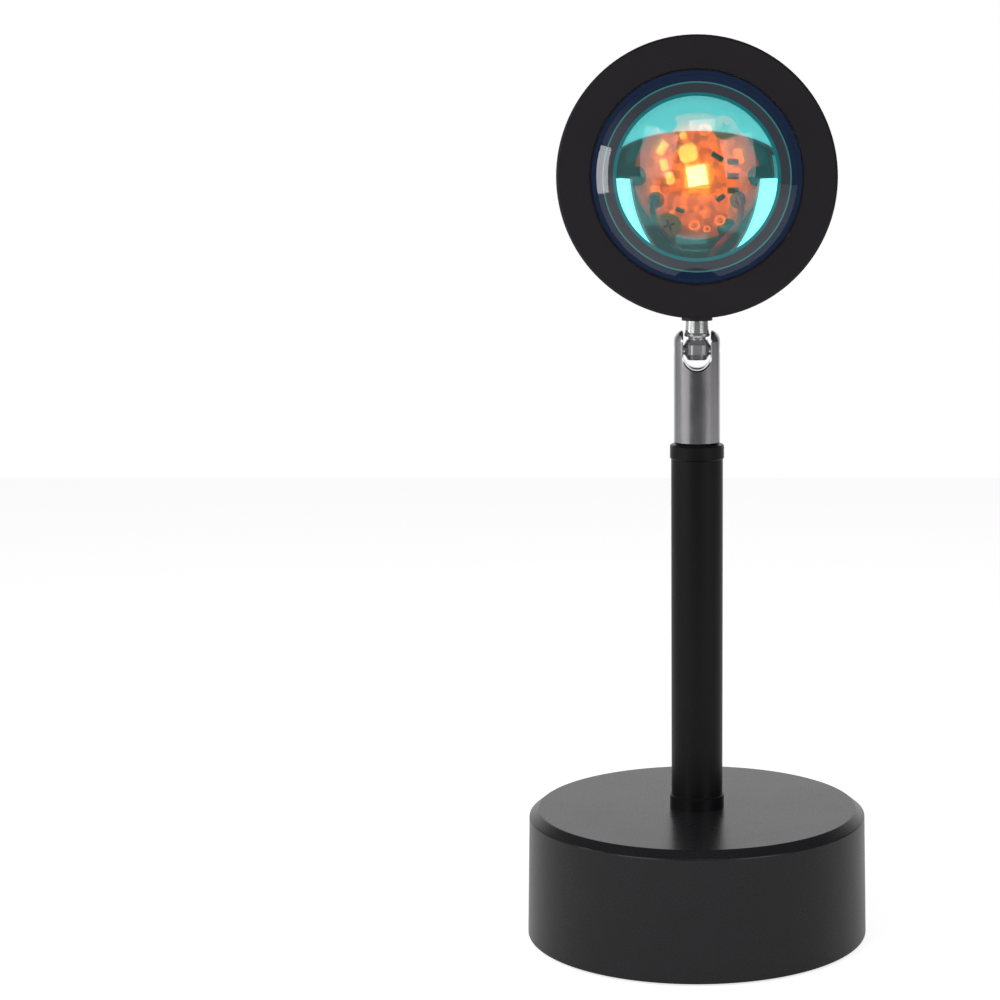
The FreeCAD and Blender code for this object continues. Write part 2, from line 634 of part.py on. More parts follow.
def make_stem():
    """Tube between two turned collars, held by a hollow nipple, washer and nut."""
    bore = "nipple_radius + thread_clearance"
    turned("stem_lower_collar", [
        (bore, "0"),
        ("lower_collar_radius", "0"),
        ("lower_collar_radius", "lower_collar_height - collar_chamfer"),
        ("lower_collar_radius - collar_chamfer", "lower_collar_height"),
        (bore, "lower_collar_height"),
    ], z="base_height")
    turned("stem_tube", [
        ("stem_bore_radius", "0"),
        ("stem_radius", "0"),
        ("stem_radius", "tube_length"),
        ("stem_bore_radius", "tube_length"),
    ], z="tube_bottom")
    turned("stem_upper_collar", [
        (bore, "0"),
        ("upper_collar_radius - collar_chamfer", "0"),
        ("upper_collar_radius", "collar_chamfer"),
        ("upper_collar_radius", "upper_collar_height - collar_chamfer"),
        ("upper_collar_radius - collar_chamfer", "upper_collar_height"),
        (bore, "upper_collar_height"),
    ], z="tube_top")
    turned("stem_nipple", [
        ("nipple_radius - nipple_wall", "0 - nipple_below"),
        ("nipple_radius", "0 - nipple_below"),
        ("nipple_radius", "base_top + lower_collar_height + nipple_above"),
        ("nipple_radius - nipple_wall", "base_top + lower_collar_height + nipple_above"),
    ], z="base_ceiling")
    turned("stem_washer", [
        ("nipple_radius + screw_clearance", "0 - stem_washer_thickness"),
        ("stem_washer_radius", "0 - stem_washer_thickness"),
        ("stem_washer_radius", "0"),
        ("nipple_radius + screw_clearance", "0"),
    ], z="base_ceiling")
    make_nut("stem_nut", "stem_nut_flats", "nipple_radius + hair_clearance", "stem_nut_height",
             z="base_ceiling - stem_washer_thickness - stem_nut_height")


def make_nut(label, flats, bore, height, **position):
    """Hexagon nut, its lower face at the given position."""
    body = new_body(label, **position)
    section = new_sketch(body, label + "_section")
    outline(section, hexagon(flats))
    ring(section, bore, label="bore")
    extrude(body, section, height)


# ---------------------------------------------------------------------------------------------
# Knuckle joint
# ---------------------------------------------------------------------------------------------

def make_fork_sleeve():
    """Fork: a hollow round sleeve with a domed top, slotted through for the knuckle."""
    body = turned("fork_sleeve", [
        ("sleeve_bore_radius", "0 - spigot_length"),
        ("nipple_radius", "0 - spigot_length"),
        ("nipple_radius", "0"),
        ("sleeve_radius - sleeve_foot_chamfer", "0"),
        ("sleeve_radius", "sleeve_foot_height"),
        ("sleeve_radius", "sleeve_length - sleeve_dome",
         Bend("sleeve_radius - sleeve_dome", "sleeve_length - sleeve_dome")),
        ("sleeve_radius - sleeve_dome", "sleeve_length"),
        ("sleeve_bore_radius", "sleeve_length"),
    ], z="stem_top")
    slot = new_sketch(body, "fork_slot", "XZ_Plane")
    outline(slot, [
        ("0 - slot_width / 2", "slot_centre", Bend("0", "slot_centre", tie="y")),
        ("slot_width / 2", "slot_centre"),
        ("slot_width / 2", "sleeve_length + slot_width"),
        ("0 - slot_width / 2", "sleeve_length + slot_width"),
    ])
    cut(body, slot, both_ways=True)
    half_slot = size_of("slot_width / 2")
    sleeve = size_of("sleeve_radius")
    floor = size_of("slot_floor") - NEAR

    def on_slot_rim(edge):
        """Tell whether an edge runs where the slot meets the outside of the sleeve."""
        middle = edge.valueAt((edge.FirstParameter + edge.LastParameter) / 2)
        return (abs(math.hypot(middle.x, middle.y) - sleeve) < NEAR
                and abs(middle.x) < half_slot + NEAR and middle.z > floor)

    bevel_edges(body, "slot_bevel", "slot_edge", on_slot_rim)
    pins = new_sketch(body, "pin_holes", "YZ_Plane")
    ring(pins, "pin_radius + pin_press", y="pivot_rise")
    cut(body, pins, both_ways=True)


def make_tilt_pins():
    """Two short pins, pressed into the ears and turning in the knuckle."""
    body = turned("tilt_pins", [
        ("knuckle_radius - pin_engagement", "0"),
        ("knuckle_radius - pin_engagement", "pin_radius"),
        ("pin_face - pin_chamfer", "pin_radius"),
        ("pin_face", "pin_radius - pin_chamfer"),
        ("pin_face", "0"),
    ], along="X", z="pivot_height")
    twin = body.newObject("PartDesign::Mirrored", "other_pin")
    twin.Originals = [body.Tip]
    twin.MirrorPlane = (next(f for f in body.Origin.OriginFeatures if f.Role == "YZ_Plane"), [""])
    finished(body, twin, grows=True)


def make_swivel_stud():
    """Knuckle barrel, groove, ring, neck and threaded end, turned in one piece and hollow."""
    body = turned("swivel_stud", [
        ("stud_bore_radius", "0 - knuckle_bottom"),
        ("knuckle_bottom_radius", "0 - knuckle_bottom"),
        ("knuckle_radius", "knuckle_bottom_bevel - knuckle_bottom"),
        ("knuckle_radius", "knuckle_top - knuckle_top_bevel"),
        ("knuckle_top_radius", "knuckle_top"),
        ("groove_radius", "knuckle_top"),
        ("groove_radius", "ring_foot"),
        ("ring_radius - ring_bevel", "ring_foot"),
        ("ring_radius", "ring_foot + ring_bevel"),
        ("ring_radius", "ring_top - ring_bevel"),
        ("neck_foot_radius", "ring_top"),
        ("neck_head_radius", "neck_shoulder"),
        ("stud_thread_radius", "neck_shoulder"),
        ("stud_thread_radius", "stud_end"),
        ("stud_bore_radius", "stud_end"),
    ], z="pivot_height")
    pins = new_sketch(body, "knuckle_pin_hole", "YZ_Plane")
    ring(pins, "pin_radius + pin_running")
    cut(body, pins, both_ways=True)


def make_swivel_fasteners():
    """Spring washer and lock nut that hold the head on the neck."""
    turned("swivel_washer", [
        ("stud_thread_radius + hair_clearance", "0"),
        ("swivel_washer_radius", "0"),
        ("swivel_washer_radius", "swivel_washer_thickness"),
        ("stud_thread_radius + hair_clearance", "swivel_washer_thickness"),
    ], z="pivot_height + stud_washer_foot")
    make_nut("swivel_nut", "swivel_nut_flats", "stud_thread_radius + hair_clearance",
             "swivel_nut_height", z="pivot_height + stud_nut_foot")


# ---------------------------------------------------------------------------------------------
# Head
# ---------------------------------------------------------------------------------------------

def make_neck_seat():
    """Black seat on the neck, its top hollowed to the round of the head."""
    body = new_body("neck_seat", z="head_centre")
    section = new_sketch(body, "seat_section", offset="0 - head_radius - seat_height")
    ring(section, "seat_radius")
    ring(section, "stud_thread_radius + swivel_running", label="bore")
    extrude(body, section, "seat_height + seat_height")
    saddle = new_sketch(body, "seat_saddle", "XZ_Plane")
    ring(saddle, "head_radius")
    cut(body, saddle, both_ways=True)


def make_head_housing():
    """Cup of the head: round rear edge, boss over the neck and pillars for the heat sink."""
    body = turned("head_housing", [
        ("bezel_back", "head_bore"),
        ("bezel_back", "head_radius - seam_bevel"),
        ("bezel_back + seam_bevel", "head_radius"),
        ("head_rear - head_rear_round", "head_radius",
         Bend("head_rear - head_rear_round", "head_radius - head_rear_round", clockwise=True)),
        ("head_rear", "head_radius - head_rear_round"),
        ("head_rear", "0"),
        ("head_floor", "0"),
        ("head_floor", "head_bore - head_inner_round",
         Bend("head_floor - head_inner_round", "head_bore - head_inner_round")),
        ("head_floor - head_inner_round", "head_bore"),
    ], along="Y", z="head_centre")
    boss = new_sketch(body, "neck_boss", offset="0 - boss_face")
    ring(boss, "neck_boss_radius")
    extrude(body, boss, "neck_boss_rise + head_wall / 2", reverse=True)
    neck_hole = new_sketch(body, "neck_hole")
    ring(neck_hole, "stud_thread_radius + swivel_running")
    cut(body, neck_hole)
    pillar = new_sketch(body, "pillar", "XZ_Plane", offset="0 - head_floor")
    ring(pillar, "pillar_radius", y="pillar_pitch_radius")
    pillar_pad = extrude(body, pillar, "head_floor - sink_back")
    core = new_sketch(body, "pillar_core", "XZ_Plane", offset="0 - sink_back")
    ring(core, "sink_screw_radius + hair_clearance", y="pillar_pitch_radius")
    core_cut = cut(body, core, "sink_screw_grip + pillar_core_spare")
    repeat_round(body, "pillars", [pillar_pad, core_cut], pillar, "pillar_count", grows=True)


def make_front_bezel():
    """Flat front ring with a spigot that screws into the housing and carries the lens."""
    spigot = "head_bore - thread_clearance"
    turned("front_bezel", [
        ("head_front", "bezel_opening_radius + bezel_lip_edge"),
        ("head_front", "head_radius - head_front_edge"),
        ("head_front + head_front_edge", "head_radius"),
        ("bezel_back - seam_bevel", "head_radius"),
        ("bezel_back", "head_radius - seam_bevel"),
        ("bezel_back", spigot),
        ("bezel_end", spigot),
        ("bezel_end", "bezel_bore"),
        ("head_front + bezel_lip", "bezel_bore"),
        ("head_front + bezel_lip", "bezel_opening_radius"),
        ("head_front + bezel_lip_edge", "bezel_opening_radius"),
    ], along="Y", z="head_centre")


def make_optics():
    """Seal, domed lens, threaded retainer, colour filter and its snap ring."""
    turned("lens_gasket", [
        ("head_front + bezel_lip", "bezel_opening_radius + gasket_margin"),
        ("lens_rim_front", "bezel_opening_radius + gasket_margin"),
        ("lens_rim_front", "lens_rim_radius - gasket_margin"),
        ("head_front + bezel_lip", "lens_rim_radius - gasket_margin"),
    ], along="Y", z="head_centre")
    turned("lens", [
        ("lens_apex", "0", Bend("lens_apex + lens_curvature", "0", clockwise=True, tie="y")),
        ("lens_rim_front", "lens_dome_radius"),
        ("lens_rim_front", "lens_rim_radius"),
        ("lens_back", "lens_rim_radius"),
        ("lens_back", "0"),
    ], along="Y", z="head_centre")
    recess = "filter_radius + filter_clearance"
    turned("lens_retainer", [
        ("lens_back", "aperture_radius"),
        ("lens_back", "bezel_bore - thread_clearance"),
        ("lens_back + retainer_thickness", "bezel_bore - thread_clearance"),
        ("lens_back + retainer_thickness", recess),
        ("filter_front", recess),
        ("filter_front", "aperture_radius"),
    ], along="Y", z="head_centre")
    turned("filter_disc", [
        ("filter_front", "0"),
        ("filter_front", "filter_radius"),
        ("filter_back", "filter_radius"),
        ("filter_back", "0"),
    ], along="Y", z="head_centre")
    clip = document.addObject("Part::Torus", "filter_clip")
    clip.Label = "filter_clip"
    clip.Placement.Rotation = FreeCAD.Rotation(Vector(1, 0, 0), 90)
    clip.setExpression("Radius1", bound("filter_radius - clip_wire_radius"))
    clip.setExpression("Radius2", bound("clip_wire_radius"))
    clip.setExpression("Angle3", bound("360 - clip_gap_angle"))
    place(clip, y="filter_back + clip_wire_radius", z="head_centre")
    SUBPARTS.append(clip)


def make_heat_sink():
    """Plate on the pillars, with a core and fins behind it and a notch for the leads."""
    body = new_body("heat_sink", z="head_centre")
    plate = new_sketch(body, "sink_plate_disc", "XZ_Plane", offset="0 - sink_back")
    ring(plate, "sink_radius")
    extrude(body, plate, "sink_plate")
    core = new_sketch(body, "sink_core", "XZ_Plane", offset="0 - sink_back")
    ring(core, "sink_core_radius")
    extrude(body, core, "sink_fin_length", reverse=True)
    fin = new_sketch(body, "sink_fin", "XZ_Plane", offset="0 - sink_back")
    outline(fin, rectangle("0 - sink_fin_thickness / 2", "sink_core_radius / 2",
                           "sink_fin_thickness / 2", "sink_fin_radius"))
    fin_pad = extrude(body, fin, "sink_fin_length", reverse=True)
    repeat_round(body, "sink_fins", [fin_pad], fin, "sink_fin_count", grows=True)
    hole = new_sketch(body, "sink_screw_hole", "XZ_Plane", offset="0 - board_back")
    ring(hole, "sink_screw_radius + screw_clearance", y="pillar_pitch_radius")
    hole_cut = cut(body, hole, "sink_plate")
    repeat_round(body, "sink_screw_holes", [hole_cut], hole, "pillar_count", grows=False)
    tapped = new_sketch(body, "board_screw_holes", "XZ_Plane", offset="0 - board_back")
    for side in (1, -1):
        x, y = board_screw_centre(side)
        ring(tapped, "board_screw_radius + hair_clearance", x=x, y=y,
             label="upper" if side > 0 else "lower")
    cut(body, tapped, "sink_plate")
    notch = new_sketch(body, "lead_notch", "XZ_Plane", offset="0 - board_back")
    outline(notch, rectangle("0 - sink_notch_width / 2", "0 - sink_radius - sink_plate",
                             "sink_notch_width / 2", "0 - sink_notch_floor"))
    cut(body, notch, "sink_plate")


def board_screw_centre(side):
    """Return where a board screw sits: in its notch, or in the opposite one for side = -1."""
    return (f"{side} * board_notch_pitch * cos(board_screw_angle)",
            f"{side} * board_notch_pitch * sin(board_screw_angle)")


def make_lamp_board():
    """Star-shaped board with its notches, the light-emitting chip and the small resistors."""
    body = new_body("led_board", z="head_centre")
    disc = new_sketch(body, "board_disc", "XZ_Plane", offset="0 - board_back")
    ring(disc, "board_radius")
    extrude(body, disc, "board_thickness")
    notch = new_sketch(body, "board_notch", "XZ_Plane", offset="0 - board_front")
    ring(notch, "board_notch_radius", x="board_notch_pitch")
    notch_cut = cut(body, notch, "board_thickness")
    repeat_round(body, "board_notches", [notch_cut], notch, "board_notch_count", grows=False)

    chip = new_body("led_emitter", z="head_centre")
    package = new_sketch(chip, "chip_package", "XZ_Plane", offset="0 - board_front")
    outline(package, rectangle("0 - emitter_side / 2", "0 - emitter_side / 2",
                               "emitter_side / 2", "emitter_side / 2"))
    extrude(chip, package, "emitter_height")
    dome = new_sketch(chip, "chip_dome", "YZ_Plane")
    foot = "board_front - emitter_height"
    rise = "(emitter_dome_radius ^ 2 + emitter_dome_height ^ 2) / (2 * emitter_dome_height)"
    outline(dome, [
        (f"{foot} - emitter_dome_height", "0",
         Bend(f"{foot} - emitter_dome_height + {rise}", "0", clockwise=True, tie="y")),
        (foot, "emitter_dome_radius"),
        (f"{foot} + emitter_height / 2", "emitter_dome_radius"),
        (f"{foot} + emitter_height / 2", "0"),
    ])
    turning = chip.newObject("PartDesign::Revolution", "chip_dome_turning")
    turning.Profile = dome
    turning.ReferenceAxis = (dome, ["H_Axis"])
    turning.Angle = 360
    finished(chip, turning, grows=True)

    resistors = new_body("chip_resistors", z="head_centre")
    rows = new_sketch(resistors, "resistor_rows", "XZ_Plane", offset="0 - board_front")
    for number, step in enumerate((-1, 0, 1)):
        low = f"{step} * resistor_pitch - resistor_width / 2"
        outline(rows, rectangle("resistor_offset - resistor_length / 2", low,
                                "resistor_offset + resistor_length / 2", f"{low} + resistor_width"),
                label=f"resistor_{number}")
    extrude(resistors, rows, "resistor_height")


def pan_head_screw(body, sketch_name, x, y, seat, radius, length):
    """Add one pan-head screw to a body; its head sits on the plane y = seat and faces -Y."""
    shank = new_sketch(body, sketch_name + "_shank", "XZ_Plane", offset=f"0 - ({seat})")
    ring(shank, radius, x=x, y=y)
    first = extrude(body, shank, length, reverse=True)
    head = new_sketch(body, sketch_name + "_head", "XZ_Plane", offset=f"0 - ({seat})")
    ring(head, "pan_head_radius", x=x, y=y)
    second = extrude(body, head, "pan_head_height")
    return [first, second], shank


def make_head_screws():
    """Screws of the heat sink and of the lamp board."""
    sink = new_body("sink_screws", z="head_centre")
    features, sketch = pan_head_screw(sink, "sink_screw", "0", "pillar_pitch_radius", "board_back",
                                      "sink_screw_radius", "sink_plate + sink_screw_grip")
    repeat_round(sink, "sink_screw_ring", features, sketch, "pillar_count", grows=True)
    board = new_body("board_screws", z="head_centre")
    for side, name in ((1, "upper_screw"), (-1, "lower_screw")):
        x, y = board_screw_centre(side)
        pan_head_screw(board, name, x, y, "board_front", "board_screw_radius",
                       "board_thickness + sink_plate")


# ---------------------------------------------------------------------------------------------
# Leads: straight runs joined by tangent arcs
# ---------------------------------------------------------------------------------------------

BEND_SHARE = 0.45


def bent_path(points):
    """Return a wire through the points, with a tangent arc at each corner, and its least radius."""
    edges = []
    radii = []
    start = points[0]
    for before, corner, after in zip(points, points[1:], points[2:]):
        into = (corner - before).normalize()
        out = (after - corner).normalize()
        half_turn = into.getAngle(out) / 2
        setback = BEND_SHARE * min((corner - before).Length, (after - corner).Length)
        radius = setback / math.tan(half_turn)
        inward = (out - into).normalize()
        centre = corner + inward * (radius / math.cos(half_turn))
        arc_start = corner - into * setback
        arc_stop = corner + out * setback
        edges.append(Part.LineSegment(start, arc_start).toShape())
        edges.append(Part.Arc(arc_start, centre - inward * radius, arc_stop).toShape())
        radii.append(radius)
        start = arc_stop
    edges.append(Part.LineSegment(start, points[-1]).toShape())
    return Part.Wire(edges), min(radii)


def make_lead(label, route, radius):
    """Sweep a round lead along a route of points given as triples of expressions."""
    points = [Vector(*(size_of(text) for text in point)) for point in route]
    path, tightest = bent_path(points)
    along = points[1] - points[0]
    section = Part.Wire(Part.makeCircle(size_of(radius), points[0], along))
    solid = path.makePipeShell([section], True, False)
    expected = math.pi * size_of(radius) ** 2 * path.Length
    print(f"{label}: length {path.Length:.1f}, least bend {tightest:.2f}, "
          f"volume {solid.Volume / expected:.4f} of section times length")
    item = document.addObject("Part::Feature", label)
    item.Label = label
    item.Shape = solid
    item.Placement = FreeCAD.Placement()
    SUBPARTS.append(item)


def make_leads():
    """Supply lead through base and stem, and the two leads between neck and lamp board."""
    make_lead("supply_lead", [
        ("0", "gland_wall_radius - gland_inner_face - gland_inner_lip - lead_gap", "gland_height"),
        ("0", "0", "gland_height"),
        ("0", "0", "stem_top + slot_floor - lead_gap"),
    ], "supply_lead_radius")
    pad_x = "solder_pad_reach * cos(solder_pad_angle)"
    pad_z = "head_centre - solder_pad_reach * sin(solder_pad_angle)"
    beside = f"({pad_x} + head_lead_flare)"
    lying = "board_front - head_lead_radius - running_gap"
    arched = "board_front - head_lead_arch"
    for label, side in (("lead_red", 1), ("lead_black", -1)):
        make_lead(label, [
            (f"{side} * head_lead_spread", "0", "pivot_height + stud_end + lead_gap"),
            (f"{side} * head_lead_spread", "0",
             "pivot_height + stud_end + lead_gap + head_lead_rise"),
            (f"{side} * head_lead_waist", arched, "head_centre - sink_notch_floor - lead_gap"),
            (f"{side} * {beside}", arched, f"{pad_z} - 2 * head_lead_step"),
            (f"{side} * {beside}", lying, f"{pad_z} - head_lead_step + head_lead_radius"),
            (f"{side} * {pad_x}", lying, f"{pad_z} + head_lead_radius"),
        ], "head_lead_radius")


# ---------------------------------------------------------------------------------------------
# Build, check and write
# ---------------------------------------------------------------------------------------------

def check_all():
    """Stop if any feature failed or any sub-part is not a sound solid."""
    document.recompute()
    for item in document.Objects:
        if {"Invalid", "Error"} & set(item.State):
            raise RuntimeError(f"{item.Name} failed: {item.State}")
    for item in SUBPARTS:
        shape = item.Shape
        if shape.isNull() or not shape.isValid() or not shape.Solids or shape.Volume <= 0:
            raise RuntimeError(f"{item.Label} is not a sound solid")


def write_all():
    """Write each sub-part to its own file and print what it holds."""
    os.makedirs("parts", exist_ok=True)
    for item in SUBPARTS:
        item.Shape.exportStep(f"parts/{item.Label}.step")
        box = item.Shape.BoundBox
        print(f"{item.Label:18s} solids {len(item.Shape.Solids)}  volume {item.Shape.Volume:10.2f}  "
              f"x {box.XMin:7.2f} {box.XMax:7.2f}  y {box.YMin:7.2f} {box.YMax:7.2f}  "
              f"z {box.ZMin:7.2f} {box.ZMax:7.2f}")


make_base_shell()
make_base_plate()
make_base_screws()
make_counterweight()
make_foot_pad()
make_cable_grommet()
make_stem()
make_fork_sleeve()
make_tilt_pins()
make_swivel_stud()
make_swivel_fasteners()
make_neck_seat()
make_head_housing()
make_front_bezel()
make_optics()
make_heat_sink()
make_lamp_board()
make_head_screws()
make_leads()
check_all()
write_all()
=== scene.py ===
"""Finishes, fine details and studio of a sunset projection lamp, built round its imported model.

The lens looks along -Y and the lamp stands on z = 0. Lengths are in metres, but small pieces are
formed in millimetres from the face that they sit on, and a name that ends in _mm is in millimetres.
Each sub-assembly is a class that dresses its solids and adds its small pieces, and each finish is
a frozen dataclass that makes one material.
"""

from __future__ import annotations

import logging
import math
from dataclasses import dataclass, field
from enum import Enum
from typing import Mapping, Sequence, Union

import bmesh
import bpy
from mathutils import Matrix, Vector

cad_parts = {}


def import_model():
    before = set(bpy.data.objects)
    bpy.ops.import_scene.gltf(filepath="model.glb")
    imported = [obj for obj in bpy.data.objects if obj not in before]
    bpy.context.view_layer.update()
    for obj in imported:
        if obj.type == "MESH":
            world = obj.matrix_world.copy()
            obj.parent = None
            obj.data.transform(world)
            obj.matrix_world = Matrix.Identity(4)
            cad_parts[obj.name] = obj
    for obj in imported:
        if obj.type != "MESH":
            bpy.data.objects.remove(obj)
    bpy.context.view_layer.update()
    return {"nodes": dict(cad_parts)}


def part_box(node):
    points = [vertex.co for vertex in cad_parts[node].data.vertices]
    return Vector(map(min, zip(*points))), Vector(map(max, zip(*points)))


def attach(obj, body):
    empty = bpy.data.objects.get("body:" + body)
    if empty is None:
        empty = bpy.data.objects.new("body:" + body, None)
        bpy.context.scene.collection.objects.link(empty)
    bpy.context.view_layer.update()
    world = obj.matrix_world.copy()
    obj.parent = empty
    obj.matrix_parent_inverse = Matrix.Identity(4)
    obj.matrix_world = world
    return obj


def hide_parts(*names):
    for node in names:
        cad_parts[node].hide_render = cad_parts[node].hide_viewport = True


LOG = logging.getLogger("sunset_lamp")
MM = 0.001

Colour = tuple[float, float, float]
Point = tuple[float, float, float]
Pair = tuple[float, float]

WHITE: Colour = (1.0, 1.0, 1.0)
DUST: Colour = (0.2, 0.2, 0.2)


# ---------------------------------------------------------------------------------------------
# Shader building
# ---------------------------------------------------------------------------------------------


class Signal:
    """A number that varies over a surface; arithmetic on it adds Math nodes."""

    def __init__(self, graph: "Graph", socket: bpy.types.NodeSocket) -> None:
        """Wrap a socket of a node graph.

        Args:
            graph: the graph that the socket belongs to.
            socket: the output socket that carries the value.
        """
        self.graph = graph
        self.socket = socket

    def _math(self, operation: str, first: "Operand", second: "Operand" = 0.0) -> "Signal":
        """Add one Math node.

        Args:
            operation: the node's operation.
            first: its first value.
            second: its second value.

        Returns:
            The result as a signal.
        """
        settings = {"operation": operation}
        return self.graph.node("ShaderNodeMath", settings, {0: first, 1: second})

    def __add__(self, other: "Operand") -> "Signal":
        """Return self + other."""
        return self._math("ADD", self, other)

    __radd__ = __add__

    def __sub__(self, other: "Operand") -> "Signal":
        """Return self - other."""
        return self._math("SUBTRACT", self, other)

    def __rsub__(self, other: "Operand") -> "Signal":
        """Return other - self."""
        return self._math("SUBTRACT", other, self)

    def __mul__(self, other: "Operand") -> "Signal":
        """Return self * other."""
        return self._math("MULTIPLY", self, other)

    __rmul__ = __mul__

    def __truediv__(self, other: "Operand") -> "Signal":
        """Return self / other."""
        return self._math("DIVIDE", self, other)

    def __pow__(self, other: "Operand") -> "Signal":
        """Return self to the power of other."""
        return self._math("POWER", self, other)

    def below(self, limit: "Operand") -> "Signal":
        """Return 1 where self is less than limit, else 0."""
        return self._math("LESS_THAN", self, limit)

    def capped(self, limit: "Operand") -> "Signal":
        """Return the lesser of self and limit."""
        return self._math("MINIMUM", self, limit)

    def raised_to(self, limit: "Operand") -> "Signal":
        """Return the greater of self and limit."""
        return self._math("MAXIMUM", self, limit)

    def unsigned(self) -> "Signal":
        """Return self without its sign."""
        return self._math("ABSOLUTE", self)

    def swing(self, amount: float) -> "Signal":
        """Return a level from 0 to 1 as a swing of that amount about nothing."""
        return (self - 0.5) * amount


Operand = Union[Signal, float]
Value = Union[Signal, float, Sequence[float]]


class Graph:
    """The node tree of a material or of the world; new_node adds all of its nodes."""

    def __init__(self, tree: bpy.types.NodeTree) -> None:
        """Take over a node tree and empty it.

        Args:
            tree: the node tree to fill.
        """
        self.tree = tree
        self.tree.nodes.clear()

    def new_node(self, kind: str, settings: Mapping[str, object] | None = None,
                 inputs: Mapping[Union[str, int], Value] | None = None) -> bpy.types.Node:
        """Add a node.

        Args:
            kind: the node's type.
            settings: its properties, set before its sockets; "stops" fills a colour ramp.
            inputs: values or signals for its input sockets.

        Returns:
            The new node.
        """
        made = self.tree.nodes.new(kind)
        for name, value in (settings or {}).items():
            if name == "stops":
                self._fill_ramp(made.color_ramp, value)
            else:
                setattr(made, name, value)
        for name, value in (inputs or {}).items():
            socket = made.inputs[name]
            if isinstance(value, Signal):
                self.tree.links.new(value.socket, socket)
            elif socket.type == "RGBA":
                socket.default_value = (*value[:3], 1.0)
            else:
                socket.default_value = value
        return made

    def node(self, kind: str, settings: Mapping[str, object] | None = None,
             inputs: Mapping[Union[str, int], Value] | None = None,
             output: Union[str, int] = 0) -> Signal:
        """Add a node and return one of its outputs.

        Args:
            kind: the node's type.
            settings: its properties.
            inputs: values or signals for its input sockets.
            output: the output socket to return.

        Returns:
            That output as a signal.
        """
        return Signal(self, self.new_node(kind, settings, inputs).outputs[output])

    @staticmethod
    def _fill_ramp(ramp: bpy.types.ColorRamp, stops: Sequence[Pair]) -> None:
        """Give a colour ramp its grey stops.

        Args:
            ramp: the ramp to fill.
            stops: pairs of position and level.
        """
        while len(ramp.elements) < len(stops):
            ramp.elements.new(1.0)
        for element, (position, level) in zip(ramp.elements, stops):
            element.position = position
            element.color = (level, level, level, 1.0)

    def along(self, vector: Signal, axis: str) -> Signal:
        """Return one coordinate of a vector.

        Args:
            vector: the vector.
            axis: "X", "Y" or "Z".

        Returns:
            That coordinate.
        """
        return self.node("ShaderNodeSeparateXYZ", inputs={0: vector}, output=axis)

    def length(self, vector: Signal) -> Signal:
        """Return the length of a vector."""
        return self.node("ShaderNodeVectorMath", {"operation": "LENGTH"}, {0: vector},
                         output="Value")

    def fade(self, value: Signal, span: Pair, levels: Pair) -> Signal:
        """Return a level that runs evenly from one end of a span to the other.

        Args:
            value: the number that the level depends on.
            span: the values where the level starts and ends.
            levels: the levels there, which are kept beyond the span.

        Returns:
            The level.
        """
        return self.node("ShaderNodeMapRange", None, {
            "Value": value, "From Min": span[0], "From Max": span[1],
            "To Min": levels[0], "To Max": levels[1]})


